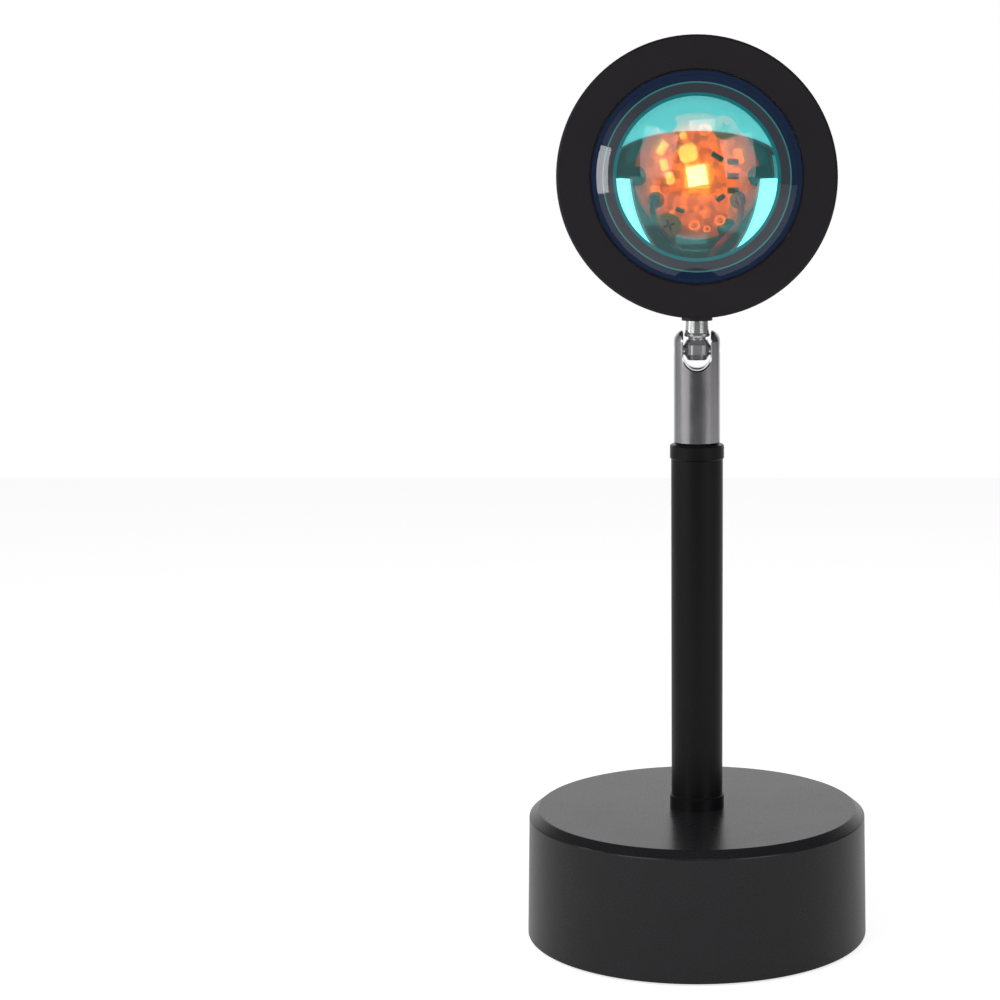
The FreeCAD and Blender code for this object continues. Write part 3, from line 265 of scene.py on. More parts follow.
class Shader(Graph):
    """One material and its node tree."""

    def __init__(self, name: str) -> None:
        """Make an empty material.

        Args:
            name: the material's name.
        """
        self.material = bpy.data.materials.new(name)
        self.material.use_nodes = True
        super().__init__(self.material.node_tree)

    def place(self, stretch: Point = (1.0, 1.0, 1.0), shift: Point = (0.0, 0.0, 0.0)) -> Signal:
        """Return the place on the piece, in metres, moved by shift and then stretched.

        Args:
            stretch: factor along each axis; less than 1 draws the pattern out along it.
            shift: moves the origin of the pattern.

        Returns:
            The place as a vector.
        """
        place = self.node("ShaderNodeTexCoord", output="Object")
        return self.node("ShaderNodeVectorMath", {"operation": "MULTIPLY"}, {
            0: self.node("ShaderNodeVectorMath", {"operation": "SUBTRACT"}, {0: place, 1: shift}),
            1: stretch})

    def noise(self, grain_mm: float, detail: float = 2.0, rough: float = 0.5,
              stretch: Point = (1.0, 1.0, 1.0)) -> Signal:
        """Return soft noise from 0 to 1.

        Args:
            grain_mm: size of its largest features.
            detail: how many finer layers it has.
            rough: how strong the finer layers are.
            stretch: factor along each axis.

        Returns:
            The noise.
        """
        return self.node("ShaderNodeTexNoise", None, {
            "Vector": self.place(stretch), "Scale": 1.0 / (grain_mm * MM),
            "Detail": detail, "Roughness": rough})

    def cells(self, size_mm: float) -> Signal:
        """Return the distance to the nearest of scattered points, from 0 to about 1.

        Args:
            size_mm: distance between the points.

        Returns:
            The distance.
        """
        return self.node("ShaderNodeTexVoronoi", None, {
            "Vector": self.place(), "Scale": 1.0 / (size_mm * MM)}, output="Distance")

    def ramp(self, value: Signal, *stops: Pair) -> Signal:
        """Return value passed through a grey ramp.

        Args:
            value: the number to map.
            stops: pairs of position and level.

        Returns:
            The mapped number.
        """
        return self.node("ShaderNodeValToRGB", {"stops": stops}, {0: value})

    def blend(self, factor: Operand, low: Value, high: Value) -> Signal:
        """Mix two colours.

        Args:
            factor: 0 gives low and 1 gives high.
            low: the first colour.
            high: the second colour.

        Returns:
            The mixed colour.
        """
        return self.node("ShaderNodeMix", {"data_type": "RGBA"},
                         {0: factor, 6: low, 7: high}, output=2)

    def bump(self, height: Signal, depth_mm: float) -> Signal:
        """Return a normal tilted by a height.

        Args:
            height: the height, from 0 to 1.
            depth_mm: what a height of 1 stands for.

        Returns:
            The normal.
        """
        return self.node("ShaderNodeBump", None, {
            "Height": height, "Distance": depth_mm * MM, "Strength": 1.0})

    def principled(self, **inputs: Value) -> Signal:
        """Return a Principled shader.

        Args:
            inputs: its sockets, with an underscore for each space in a name.

        Returns:
            The shader.
        """
        named = {name.replace("_", " "): value for name, value in inputs.items()}
        return self.node("ShaderNodeBsdfPrincipled", None, named)

    def done(self, surface: Signal) -> bpy.types.Material:
        """Connect the surface and return the material.

        Args:
            surface: the shader to show.

        Returns:
            The finished material.
        """
        self.new_node("ShaderNodeOutputMaterial", None, {"Surface": surface})
        return self.material


# ---------------------------------------------------------------------------------------------
# Finishes
# ---------------------------------------------------------------------------------------------


def shade(colour: Colour, factor: float) -> Colour:
    """Return a colour made darker or paler, with no part above 1.

    Args:
        colour: the colour.
        factor: less than 1 darkens it and more than 1 makes it paler.

    Returns:
        The new colour.
    """
    red, green, blue = (min(1.0, factor * part) for part in colour)
    return red, green, blue


@dataclass(frozen=True)
class Finish:
    """A named surface finish that is made into one material."""

    name: str

    def material(self) -> bpy.types.Material:
        """Return the material, made on first use."""
        return bpy.data.materials.get(self.name) or self.make(Shader(self.name))

    def make(self, shader: Shader) -> bpy.types.Material:
        """Fill an empty shader.

        Args:
            shader: the material to fill.

        Returns:
            The finished material.
        """
        raise NotImplementedError


@dataclass(frozen=True)
class Paint(Finish):
    """Sprayed or powder-coated paint with a fine grain and a faint unevenness."""

    colour: Colour = (0.02, 0.02, 0.02)
    rough: float = 0.4
    gloss: float = 0.5
    grain_mm: float = 0.35
    grain_depth_mm: float = 0.01
    unevenness: float = 0.06
    darkest: float = 0.88
    palest: float = 1.14
    cloud_mm: float = 14.0
    dust_mm: float = 2.6
    dust_spot: float = 0.045
    dust_share: float = 0.25

    def make(self, shader: Shader) -> bpy.types.Material:
        """Fill the shader with grain, cloudy roughness and a little dust."""
        cloud = shader.noise(self.cloud_mm, detail=3.0)
        grain = shader.noise(self.grain_mm, rough=0.6)
        dust = shader.ramp(shader.cells(self.dust_mm), (0.0, 1.0), (self.dust_spot, 0.0))
        tint = shader.blend(cloud, shade(self.colour, self.darkest),
                            shade(self.colour, self.palest))
        return shader.done(shader.principled(
            Base_Color=shader.blend(dust * self.dust_share, tint, DUST),
            Roughness=self.rough + cloud.swing(self.unevenness) + grain.swing(self.unevenness),
            Specular_IOR_Level=self.gloss, Normal=shader.bump(grain, self.grain_depth_mm)))


class Lay(Enum):
    """The way in which the fine marks of a machined metal run."""

    ALONG = (1.0, 1.0, 0.04)
    ROUND = (0.03, 0.03, 1.0)
    NONE = (1.0, 1.0, 1.0)


@dataclass(frozen=True)
class Metal(Finish):
    """Plated, brushed or polished metal."""

    colour: Colour = (0.6, 0.6, 0.6)
    rough: float = 0.25
    lay: Lay = Lay.NONE
    mark_mm: float = 0.4
    mark_depth_mm: float = 0.002
    blotch: float = 0.08
    metallic: float = 1.0
    darkest: float = 0.9
    palest: float = 1.06
    cloud_mm: float = 5.0

    def make(self, shader: Shader) -> bpy.types.Material:
        """Fill the shader with tool marks, blotches and fine scratches."""
        marks = shader.noise(self.mark_mm, detail=3.0, rough=0.65, stretch=self.lay.value)
        cloud = shader.noise(self.cloud_mm, detail=4.0, rough=0.6)
        tint = shader.blend(cloud, shade(self.colour, self.darkest),
                            shade(self.colour, self.palest))
        return shader.done(shader.principled(
            Base_Color=tint, Metallic=self.metallic,
            Roughness=self.rough + cloud.swing(self.blotch) + marks.swing(self.blotch),
            Normal=shader.bump(marks, self.mark_depth_mm)))


@dataclass(frozen=True)
class Moulded(Finish):
    """Moulded rubber, plastic or wire covering."""

    colour: Colour = (0.03, 0.03, 0.03)
    rough: float = 0.6
    gloss: float = 0.4
    grain_mm: float = 0.5
    grain_depth_mm: float = 0.01
    unevenness: float = 0.12
    darkest: float = 0.85
    palest: float = 1.2
    cloud_mm: float = 6.0

    def make(self, shader: Shader) -> bpy.types.Material:
        """Fill the shader with a moulded grain and a slightly faded surface."""
        grain = shader.noise(self.grain_mm, rough=0.55)
        cloud = shader.noise(self.cloud_mm)
        tint = shader.blend(cloud, shade(self.colour, self.darkest),
                            shade(self.colour, self.palest))
        return shader.done(shader.principled(
            Base_Color=tint, Roughness=self.rough + cloud.swing(self.unevenness),
            Specular_IOR_Level=self.gloss, Normal=shader.bump(grain, self.grain_depth_mm)))


@dataclass(frozen=True)
class CastMetal(Finish):
    """Rough sand-cast iron with rust-brown specks."""

    colour: Colour = (0.12, 0.12, 0.125)
    rust: Colour = (0.16, 0.08, 0.045)
    rust_mm: float = 7.0
    rust_share: float = 0.6
    pit_mm: float = 1.2
    pit_depth_mm: float = 0.12
    rough: float = 0.55
    unevenness: float = 0.3
    metallic: float = 0.6

    def make(self, shader: Shader) -> bpy.types.Material:
        """Fill the shader with a pitted surface and specks of rust."""
        pits = shader.noise(self.pit_mm, detail=5.0, rough=0.7)
        patches = shader.noise(self.rust_mm, detail=4.0, rough=0.6)
        rusty = shader.ramp(patches, (0.55, 0.0), (0.7, self.rust_share))
        return shader.done(shader.principled(
            Base_Color=shader.blend(rusty, self.colour, self.rust), Metallic=self.metallic,
            Roughness=self.rough + pits * self.unevenness,
            Normal=shader.bump(pits, self.pit_depth_mm)))


@dataclass(frozen=True)
class ClearGlass(Finish):
    """Polished clear glass with faint dust."""

    index: float = 1.517
    dust_mm: float = 1.9
    dust_spot: float = 0.03
    dust_rough: float = 0.1

    def make(self, shader: Shader) -> bpy.types.Material:
        """Fill the shader with clear refraction and a trace of dust."""
        dust = shader.ramp(shader.cells(self.dust_mm), (0.0, 1.0), (self.dust_spot, 0.0))
        return shader.done(shader.principled(
            Base_Color=WHITE, Roughness=dust * self.dust_rough, IOR=self.index,
            Transmission_Weight=1.0))


@dataclass(frozen=True)
class ColourFilter(Finish):
    """Coated glass that reflects one colour and lets the opposite one through."""

    reflected: Colour = (0.06, 0.66, 0.7)
    passed: Colour = (0.9, 0.34, 0.26)
    rough: float = 0.015
    darkest: float = 0.94
    cloud_mm: float = 9.0

    def make(self, shader: Shader) -> bpy.types.Material:
        """Fill the shader with a coloured mirror mixed with tinted clear glass."""
        cloud = shader.noise(self.cloud_mm)
        mirror = shader.principled(
            Base_Color=shader.blend(cloud, shade(self.reflected, self.darkest), self.reflected),
            Metallic=1.0, Roughness=self.rough)
        clear = shader.node("ShaderNodeBsdfTransparent", None, {"Color": self.passed})
        return shader.done(shader.node("ShaderNodeAddShader", None, {0: mirror, 1: clear}))


@dataclass(frozen=True)
class LitBoard(Finish):
    """Solder mask of a lamp board, with painted light from the chip at its middle in its emission.
    """

    colour: Colour = (0.7, 0.34, 0.14)
    # Painted light: the emitted colours near the chip, further out, at the rim and in the gaps
    # between tracks stand in for the chip's light on the board.
    near_painted_light: Colour = (0.8, 1.0, 0.03)
    far_painted_light: Colour = (0.34, 0.245, 0.0)
    rim_painted_light: Colour = (0.05, 0.028, 0.003)
    gap_painted_light: Colour = (0.05, 0.02, 0.003)
    gap_shade: float = 0.5
    centre: Point = (0.0, 0.0, 0.2)
    near_mm: float = 4.8
    near_bend: float = 0.8
    far_mm: float = 9.4
    far_bend: float = 5.0
    power: float = 3.4
    track_mm: float = 1.5
    lane_mm: float = 0.9
    lane_stretch: Point = (1.0, 1.0, 0.35)
    grain_mm: float = 0.5
    grain_depth_mm: float = 0.01
    rough: float = 0.4
    unevenness: float = 0.1

    def make(self, shader: Shader) -> bpy.types.Material:
        """Fill the shader with painted light in the emission, fading from yellow at the chip to a
        dark rim.
        """
        distance = shader.length(shader.place(shift=self.centre))
        close = 1.0 - (distance / (self.near_mm * MM)).capped(1.0)
        out = (distance / (self.far_mm * MM)).capped(1.0)
        grain = shader.noise(self.grain_mm, detail=3.0, rough=0.6)
        tracks = shader.ramp(shader.noise(self.track_mm, detail=1.5, rough=0.45),
                             (0.455, 0.55), (0.475, 1.0))
        lanes = shader.ramp(shader.noise(self.lane_mm, detail=0.0, rough=0.4,
                                         stretch=self.lane_stretch), (0.5, 1.0), (0.52, 0.7))
        # Painted light: the board's emission fades outward from the chip, as if lit by it.
        middle = shader.blend(out ** self.far_bend, self.far_painted_light, self.rim_painted_light)
        painted_glow = shader.blend(close ** self.near_bend, middle, self.near_painted_light)
        return shader.done(shader.principled(
            Base_Color=shader.blend(tracks, shade(self.colour, self.gap_shade), self.colour),
            Roughness=self.rough + grain * self.unevenness,
            Emission_Color=shader.blend(tracks * lanes, self.gap_painted_light, painted_glow),
            Emission_Strength=self.power, Normal=shader.bump(grain, self.grain_depth_mm)))


@dataclass(frozen=True)
class RetainerFace(Finish):
    """Blue-black anodised ring with painted teal reflections at its inner edge and in a thin ring
    further out.
    """

    centre: Point = (0.0, 0.0, 0.2)
    edge_reflection_mm: float = 18.1
    reflection_ring_mm: float = 20.7
    reflection_ring_width_mm: float = 0.4
    # Painted reflection: the teal inner edge colour and the teal ring colour stand in for
    # reflections of the filter; land and rim are the ring's own colour.
    edge: Colour = (0.03, 0.36, 0.4)
    land: Colour = (0.11, 0.13, 0.16)
    ring_reflection: Colour = (0.12, 0.42, 0.42)
    rim: Colour = (0.03, 0.06, 0.14)
    power: float = 0.28
    metallic: float = 0.6
    rough: float = 0.35
    unevenness: float = 0.1
    mark_mm: float = 0.3
    mark_depth_mm: float = 0.003

    def make(self, shader: Shader) -> bpy.types.Material:
        """Fill the shader with rings of colour round the lens axis, the teal ones painted
        reflections, and painted light from the chip in a faint emission.
        """
        radius = shader.length(shader.place((1.0, 0.0, 1.0), self.centre))
        inside = radius.below(self.reflection_ring_mm * MM)
        in_reflection_ring = radius.below((self.reflection_ring_mm + self.reflection_ring_width_mm) * MM) - inside
        land = shader.blend(radius.below(self.edge_reflection_mm * MM), self.land, self.edge)
        tint = shader.blend(in_reflection_ring, shader.blend(inside, self.rim, land), self.ring_reflection)
        marks = shader.noise(self.mark_mm)
        return shader.done(shader.principled(
            Base_Color=tint, Metallic=self.metallic,
            Roughness=self.rough + marks.swing(self.unevenness),
            # Painted light: the emission makes the ring glow faintly as if lit by the chip.
            Emission_Color=tint, Emission_Strength=self.power,
            Normal=shader.bump(marks, self.mark_depth_mm)))


@dataclass(frozen=True)
class PaintedGlowLand(Finish):
    """Bare copper or tinned metal beside the chip, with painted light: it glows as if lit by the
    chip.
    """

    colour: Colour = (0.9, 0.6, 0.25)
    painted_glow: Colour = (0.8, 0.75, 0.06)
    power: float = 2.0
    rough: float = 0.3
    darkest: float = 0.45
    metallic: float = 0.8
    unevenness: float = 0.2
    cloud_mm: float = 0.9
    wear_depth_mm: float = 0.03

    def make(self, shader: Shader) -> bpy.types.Material:
        """Fill the shader with a worn metal face and clouded painted light in its emission."""
        cloud = shader.noise(self.cloud_mm, detail=3.0, rough=0.6)
        return shader.done(shader.principled(
            Base_Color=self.colour, Metallic=self.metallic,
            Roughness=self.rough + cloud.swing(self.unevenness),
            # Painted light: the emission stands in for the chip's light falling on the metal.
            Emission_Color=shader.blend(cloud, shade(self.painted_glow, self.darkest), self.painted_glow),
            Emission_Strength=self.power, Normal=shader.bump(cloud, self.wear_depth_mm)))


@dataclass(frozen=True)
class Phosphor(Finish):
    """Light-emitting chip: a white-hot square of phosphor in a paler frame."""

    colour: Colour = (1.0, 0.86, 0.5)
    frame: Colour = (0.75, 0.6, 0.05)
    frame_shade: float = 0.3
    darkest: float = 0.92
    centre: Point = (0.0, 0.0, 0.2)
    half_mm: float = 1.4
    turn_deg: float = 10.0
    power: float = 12.0
    rough: float = 0.2
    grain_mm: float = 0.4

    def make(self, shader: Shader) -> bpy.types.Material:
        """Fill the shader with a hot square and a frame that glows less."""
        place = shader.place(shift=self.centre)
        turn = math.radians(self.turn_deg)
        first, second = shader.along(place, "X"), shader.along(place, "Z")
        across = first * math.cos(turn) + second * math.sin(turn)
        up = second * math.cos(turn) - first * math.sin(turn)
        inside = across.unsigned().raised_to(up.unsigned()).below(self.half_mm * MM)
        hot = shader.blend(shader.noise(self.grain_mm), shade(self.colour, self.darkest),
                           self.colour)
        cool = shade(self.frame, self.frame_shade)
        return shader.done(shader.principled(
            Base_Color=self.colour, Roughness=self.rough,
            Emission_Color=shader.blend(inside, cool, hot), Emission_Strength=self.power))


BASE_PAINT = Paint("satin_black_base_coat", colour=(0.017, 0.0162, 0.0182), rough=0.27,
                   gloss=0.3, grain_mm=0.3, grain_depth_mm=0.006)
STEM_PAINT = Paint("satin_black_stem_coat", colour=(0.0065, 0.0065, 0.0072), rough=0.33,
                   gloss=0.18, grain_mm=0.25, grain_depth_mm=0.003)
HEAD_PAINT = Paint("matte_black_head_coat", colour=(0.014, 0.0118, 0.0155), rough=0.55,
                   gloss=0.25, grain_mm=0.28, grain_depth_mm=0.008)
SEAT_PLASTIC = Moulded("black_seat_plastic", colour=(0.02, 0.02, 0.02), rough=0.5)
NICKEL = Metal("satin_nickel_plate", colour=(0.43, 0.42, 0.44), rough=0.2, lay=Lay.ALONG,
               mark_mm=0.25, mark_depth_mm=0.002)
CHROME = Metal("polished_chrome_plate", colour=(0.92, 0.92, 0.93), rough=0.12, mark_mm=0.6,
               mark_depth_mm=0.0006, blotch=0.03, metallic=0.76)
ZINC = Metal("bright_zinc_plate", colour=(0.62, 0.62, 0.6), rough=0.35, mark_mm=0.5,
             mark_depth_mm=0.004)
SPRING = Metal("spring_steel_wire", colour=(0.45, 0.45, 0.46), rough=0.3, lay=Lay.ROUND,
               mark_mm=0.2, mark_depth_mm=0.002)
BLACK_ALUMINIUM = Metal("black_anodised_metal", colour=(0.03, 0.03, 0.034), rough=0.4,
                        lay=Lay.ROUND, mark_mm=0.3, mark_depth_mm=0.003)
RETAINER = RetainerFace("blue_black_anodised_ring")
CAST_IRON = CastMetal("raw_cast_iron")
RUBBER = Moulded("moulded_black_rubber", colour=(0.022, 0.022, 0.024), rough=0.65, gloss=0.35,
                 grain_mm=0.6, grain_depth_mm=0.02)
PAD_RUBBER = Moulded("foot_rubber_sheet", colour=(0.045, 0.045, 0.045), rough=0.8, gloss=0.3,
                     grain_mm=0.8, grain_depth_mm=0.05)
LENS_GLASS = ClearGlass("polished_lens_glass")
FILTER_GLASS = ColourFilter("coated_filter_glass")
BOARD = LitBoard("board_mask_painted_light")
PHOSPHOR = Phosphor("glowing_phosphor")
# Painted light: these lands, the rings, the part legs and the solder joints glow as if lit by the
# chip.
BRIGHT_PAINTED_LIGHT_LAND = PaintedGlowLand("copper_land_near_chip", colour=(0.9, 0.6, 0.25), painted_glow=(0.6, 1.0, 0.22),
                       power=4.0)
DIM_PAINTED_LIGHT_LAND = PaintedGlowLand("copper_land_at_rim", colour=(0.85, 0.45, 0.2), painted_glow=(0.5, 0.42, 0.03),
                        power=3.2)
SOLDER = PaintedGlowLand("dull_solder", colour=(0.3, 0.26, 0.24), painted_glow=(0.05, 0.025, 0.01),
                     power=0.5, rough=0.4)
RESISTOR = Moulded("resistor_ceramic", colour=(0.2, 0.06, 0.02), rough=0.35, gloss=0.5,
                   grain_mm=0.3, grain_depth_mm=0.005)
CHIP_PLASTIC = Moulded("black_chip_plastic", colour=(0.012, 0.01, 0.01), rough=0.4, gloss=0.4,
                       grain_mm=0.3, grain_depth_mm=0.005)
# Painted shade: a near-black finish on two thin bars stands in for the shade inside the board
# screws' cross recesses.
PAINTED_RECESS_SHADE = Moulded("painted_shade_screw_recess", colour=(0.012, 0.012, 0.012), rough=0.6, gloss=0.3,
                 grain_mm=0.3, grain_depth_mm=0.01)
RED_WIRE = Moulded("red_wire_cover", colour=(0.5, 0.02, 0.012), rough=0.35, gloss=0.5,
                   grain_mm=0.5, grain_depth_mm=0.004)
BLACK_WIRE = Moulded("black_wire_cover", colour=(0.02, 0.02, 0.02), rough=0.4, gloss=0.5,
                     grain_mm=0.5, grain_depth_mm=0.004)


# ---------------------------------------------------------------------------------------------
# Mesh building
# ---------------------------------------------------------------------------------------------


@dataclass(frozen=True)
class Seat:
    """A face that small pieces are set on: a point and three directions."""

    origin: Vector
    across: Vector = Vector((1.0, 0.0, 0.0))
    up: Vector = Vector((0.0, 0.0, 1.0))
    out: Vector = Vector((0.0, -1.0, 0.0))

    def at(self, across_mm: float, up_mm: float, out_mm: float) -> Vector:
        """Return the point that lies so far along the three directions."""
        step = self.across * across_mm + self.up * up_mm + self.out * out_mm
        return self.origin + step * MM

    def moved(self, across_mm: float, up_mm: float, turn_deg: float = 0.0) -> "Seat":
        """Return a seat on the same face, moved and then turned about its own middle.

        Args:
            across_mm: the move across.
            up_mm: the move up.
            turn_deg: the turn, from across towards up.

        Returns:
            The new seat.
        """
        turn = math.radians(turn_deg)
        return Seat(self.at(across_mm, up_mm, 0.0),
                    self.across * math.cos(turn) + self.up * math.sin(turn),
                    self.up * math.cos(turn) - self.across * math.sin(turn), self.out)


def rounded_rectangle(width: float, height: float, corner: float, steps: int = 4) -> list[Pair]:
    """Return the outline of a rectangle with rounded corners.

    Args:
        width: its width.
        height: its height.
        corner: radius of the corners.
        steps: pieces of each corner's arc.

    Returns:
        Points of the outline, anticlockwise.
    """
    points = []
    for quarter, (right, top) in enumerate(((1, 1), (-1, 1), (-1, -1), (1, -1))):
        for step in range(steps + 1):
            angle = math.pi / 2.0 * (quarter + step / steps)
            points.append((right * (width / 2.0 - corner) + corner * math.cos(angle),
                           top * (height / 2.0 - corner) + corner * math.sin(angle)))
    return points


class Former:
    """Builds the mesh of one piece on a seat, in millimetres from the seat."""

    WELD = 1e-7
    LEAST_CORNER = 0.2

    def __init__(self, seat: Seat) -> None:
        """Start an empty mesh.

        Args:
            seat: the face that the piece is set on.
        """
        self.seat = seat
        self.mesh = bmesh.new()

    def loop(self, outline: Sequence[Pair], out_mm: float) -> list[bmesh.types.BMVert]:
        """Add the corners of an outline at one height and return them."""
        return [self.mesh.verts.new(self.seat.at(x, z, out_mm)) for x, z in outline]

    def wall(self, lower: Sequence[bmesh.types.BMVert],
             upper: Sequence[bmesh.types.BMVert]) -> None:
        """Join two loops of as many corners by a ring of faces."""
        for k in range(len(lower)):
            after = (k + 1) % len(lower)
            self.mesh.faces.new((lower[k], lower[after], upper[after], upper[k]))

    def turned(self, profile: Sequence[Pair], segments: int, closed: bool = False) -> "Former":
        """Turn a profile round the seat's outward direction.

        Args:
            profile: pairs of radius and height; a radius of 0 closes the end.
            segments: steps round the axis.
            closed: whether the last pair joins the first.

        Returns:
            This former.
        """
        loops = []
        for radius, height in profile:
            if radius == 0.0:
                loops.append([self.mesh.verts.new(self.seat.at(0.0, 0.0, height))])
            else:
                circle = [(radius * math.cos(2.0 * math.pi * k / segments),
                           radius * math.sin(2.0 * math.pi * k / segments))
                          for k in range(segments)]
                loops.append(self.loop(circle, height))
        pairs = list(zip(loops, loops[1:])) + ([(loops[-1], loops[0])] if closed else [])
        for lower, upper in pairs:
            if len(lower) == 1 or len(upper) == 1:
                tip, rim = (lower, upper) if len(lower) == 1 else (upper, lower)
                for k in range(segments):
                    self.mesh.faces.new((tip[0], rim[k], rim[(k + 1) % segments]))
            else:
                self.wall(lower, upper)
        return self

    def raised(self, width: float, height: float, corner: float, rise: float,
               edge: float, foot: float = 0.0) -> "Former":
        """Raise a rounded rectangle with a broken top edge.

        Args:
            width: its width.
            height: its height.
            corner: radius of its corners.
            rise: how high it stands.
            edge: how much its top edge is broken.
            foot: height of its underside.

        Returns:
            This former.
        """
        whole = rounded_rectangle(width, height, corner)
        inner = rounded_rectangle(width - 2.0 * edge, height - 2.0 * edge,
                                  max(corner - edge, self.LEAST_CORNER * corner))
        loops = [self.loop(whole, foot), self.loop(whole, rise - edge), self.loop(inner, rise)]
        self.wall(loops[0], loops[1])
        self.wall(loops[1], loops[2])
        self.mesh.faces.new(loops[0][::-1])
        self.mesh.faces.new(loops[2])
        return self

    def finished(self, name: str, finish: Finish, body: str, slot: str,
                 sharp_deg: float = 35.0) -> bpy.types.Object:
        """Make the object, finish it and let it ride on its body.

        Args:
            name: the piece's name.
            finish: its finish.
            body: the body that carries it.
            slot: not used.
            sharp_deg: edges that turn more than this stay sharp.

        Returns:
            The new object.
        """
        bmesh.ops.remove_doubles(self.mesh, verts=self.mesh.verts, dist=self.WELD)
        bmesh.ops.recalc_face_normals(self.mesh, faces=self.mesh.faces)
        for face in self.mesh.faces:
            face.smooth = True
        data = bpy.data.meshes.new(name)
        self.mesh.to_mesh(data)
        self.mesh.free()
        data.set_sharp_from_angle(angle=math.radians(sharp_deg))
        data.materials.append(finish.material())
        piece = bpy.data.objects.new(name, data)
        bpy.context.scene.collection.objects.link(piece)
        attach(piece, body)
        LOG.info("%s is made, riding on %s", name, body)
        return piece


# ---------------------------------------------------------------------------------------------
# Sub-assemblies
# ---------------------------------------------------------------------------------------------


@dataclass
class SubAssembly:
    """A group of solids that is dressed together."""

    nodes: Mapping[str, bpy.types.Object]
    coats: Mapping[str, Finish] = field(default_factory=dict)

    def dress(self) -> None:
        """Give each solid of the group its finish."""
        for name, finish in self.coats.items():
            for slot in self.nodes[name].material_slots:
                slot.material = finish.material()
            LOG.info("%s is finished in %s", name, finish.name)

    def add(self) -> None:
        """Add the group's own small pieces; a plain group has none."""


@dataclass
class Base(SubAssembly):
    """Weighted base: shell, bottom plate, weight, foot pad and cable gland."""

    coats: Mapping[str, Finish] = field(default_factory=lambda: {
        "base_shell": BASE_PAINT, "base_plate": ZINC, "base_screws": ZINC,
        "counterweight": CAST_IRON, "foot_pad": PAD_RUBBER, "cable_grommet": RUBBER})


@dataclass
class Stem(SubAssembly):
    """Stem tube with its collars and what clamps it to the base."""

    coats: Mapping[str, Finish] = field(default_factory=lambda: {
        "stem_lower_collar": STEM_PAINT, "stem_tube": STEM_PAINT, "stem_upper_collar": STEM_PAINT,
        "stem_nipple": ZINC, "stem_washer": ZINC, "stem_nut": ZINC, "supply_lead": BLACK_WIRE})


@dataclass
class Knuckle(SubAssembly):
    """Fork sleeve, its pins and the swivel stud."""

    coats: Mapping[str, Finish] = field(default_factory=lambda: {
        "fork_sleeve": NICKEL, "tilt_pins": CHROME, "swivel_stud": CHROME,
        "swivel_washer": SPRING, "swivel_nut": ZINC})


@dataclass
class Head(SubAssembly):
    """Head shell, front ring and seat."""

    coats: Mapping[str, Finish] = field(default_factory=lambda: {
        "neck_seat": SEAT_PLASTIC, "head_housing": HEAD_PAINT, "front_bezel": HEAD_PAINT})


@dataclass
class Optics(SubAssembly):
    """Lens, its seal and retainer, and the colour filter; the lens is sized in millimetres."""

    coats: Mapping[str, Finish] = field(default_factory=lambda: {
        "lens_gasket": RUBBER, "lens": LENS_GLASS, "lens_retainer": RETAINER,
        "filter_disc": FILTER_GLASS, "filter_clip": SPRING})
    dome_curvature: float = 27.0
    dome_foot_radius: float = 25.2
    dome_foot_out: float = 7.6
    dome_steps: int = 40
    dome_edge: float = 0.25
    rim_radius: float = 28.2
    rim_thickness: float = 2.2
    lens_segments: int = 192
    lens_sharp_deg: float = 14.0

    def add(self) -> None:
        """Add the aspheric lens: flat back, thin rim, short barrel and a parabolic dome."""
        seat = Seat(Vector((0.0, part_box("lens")[1][1], head_axis())))
        foot, radius = self.dome_foot_out, self.dome_foot_radius
        profile = [(0.0, 0.0), (self.rim_radius, 0.0), (self.rim_radius, self.rim_thickness),
                   (radius, self.rim_thickness), (radius, foot - self.dome_edge)]
        for step in range(self.dome_steps, -1, -1):
            at = (radius - self.dome_edge) * step / self.dome_steps
            rise = (radius ** 2 - at ** 2) / (2.0 * self.dome_curvature)
            profile.append((at, foot + rise))
        lens = Former(seat).turned(profile, self.lens_segments).finished(
            "aspheric_lens", LENS_GLASS, "head", "clear_lens", self.lens_sharp_deg)
        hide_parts("lens")


@dataclass(frozen=True)
class Land:
    """A small rectangular place on the lamp board, in millimetres from the lens axis."""

    name: str
    across: float
    up: float
    width: float
    height: float
    turn: float
    finish: Finish
    rise: float = 0.06


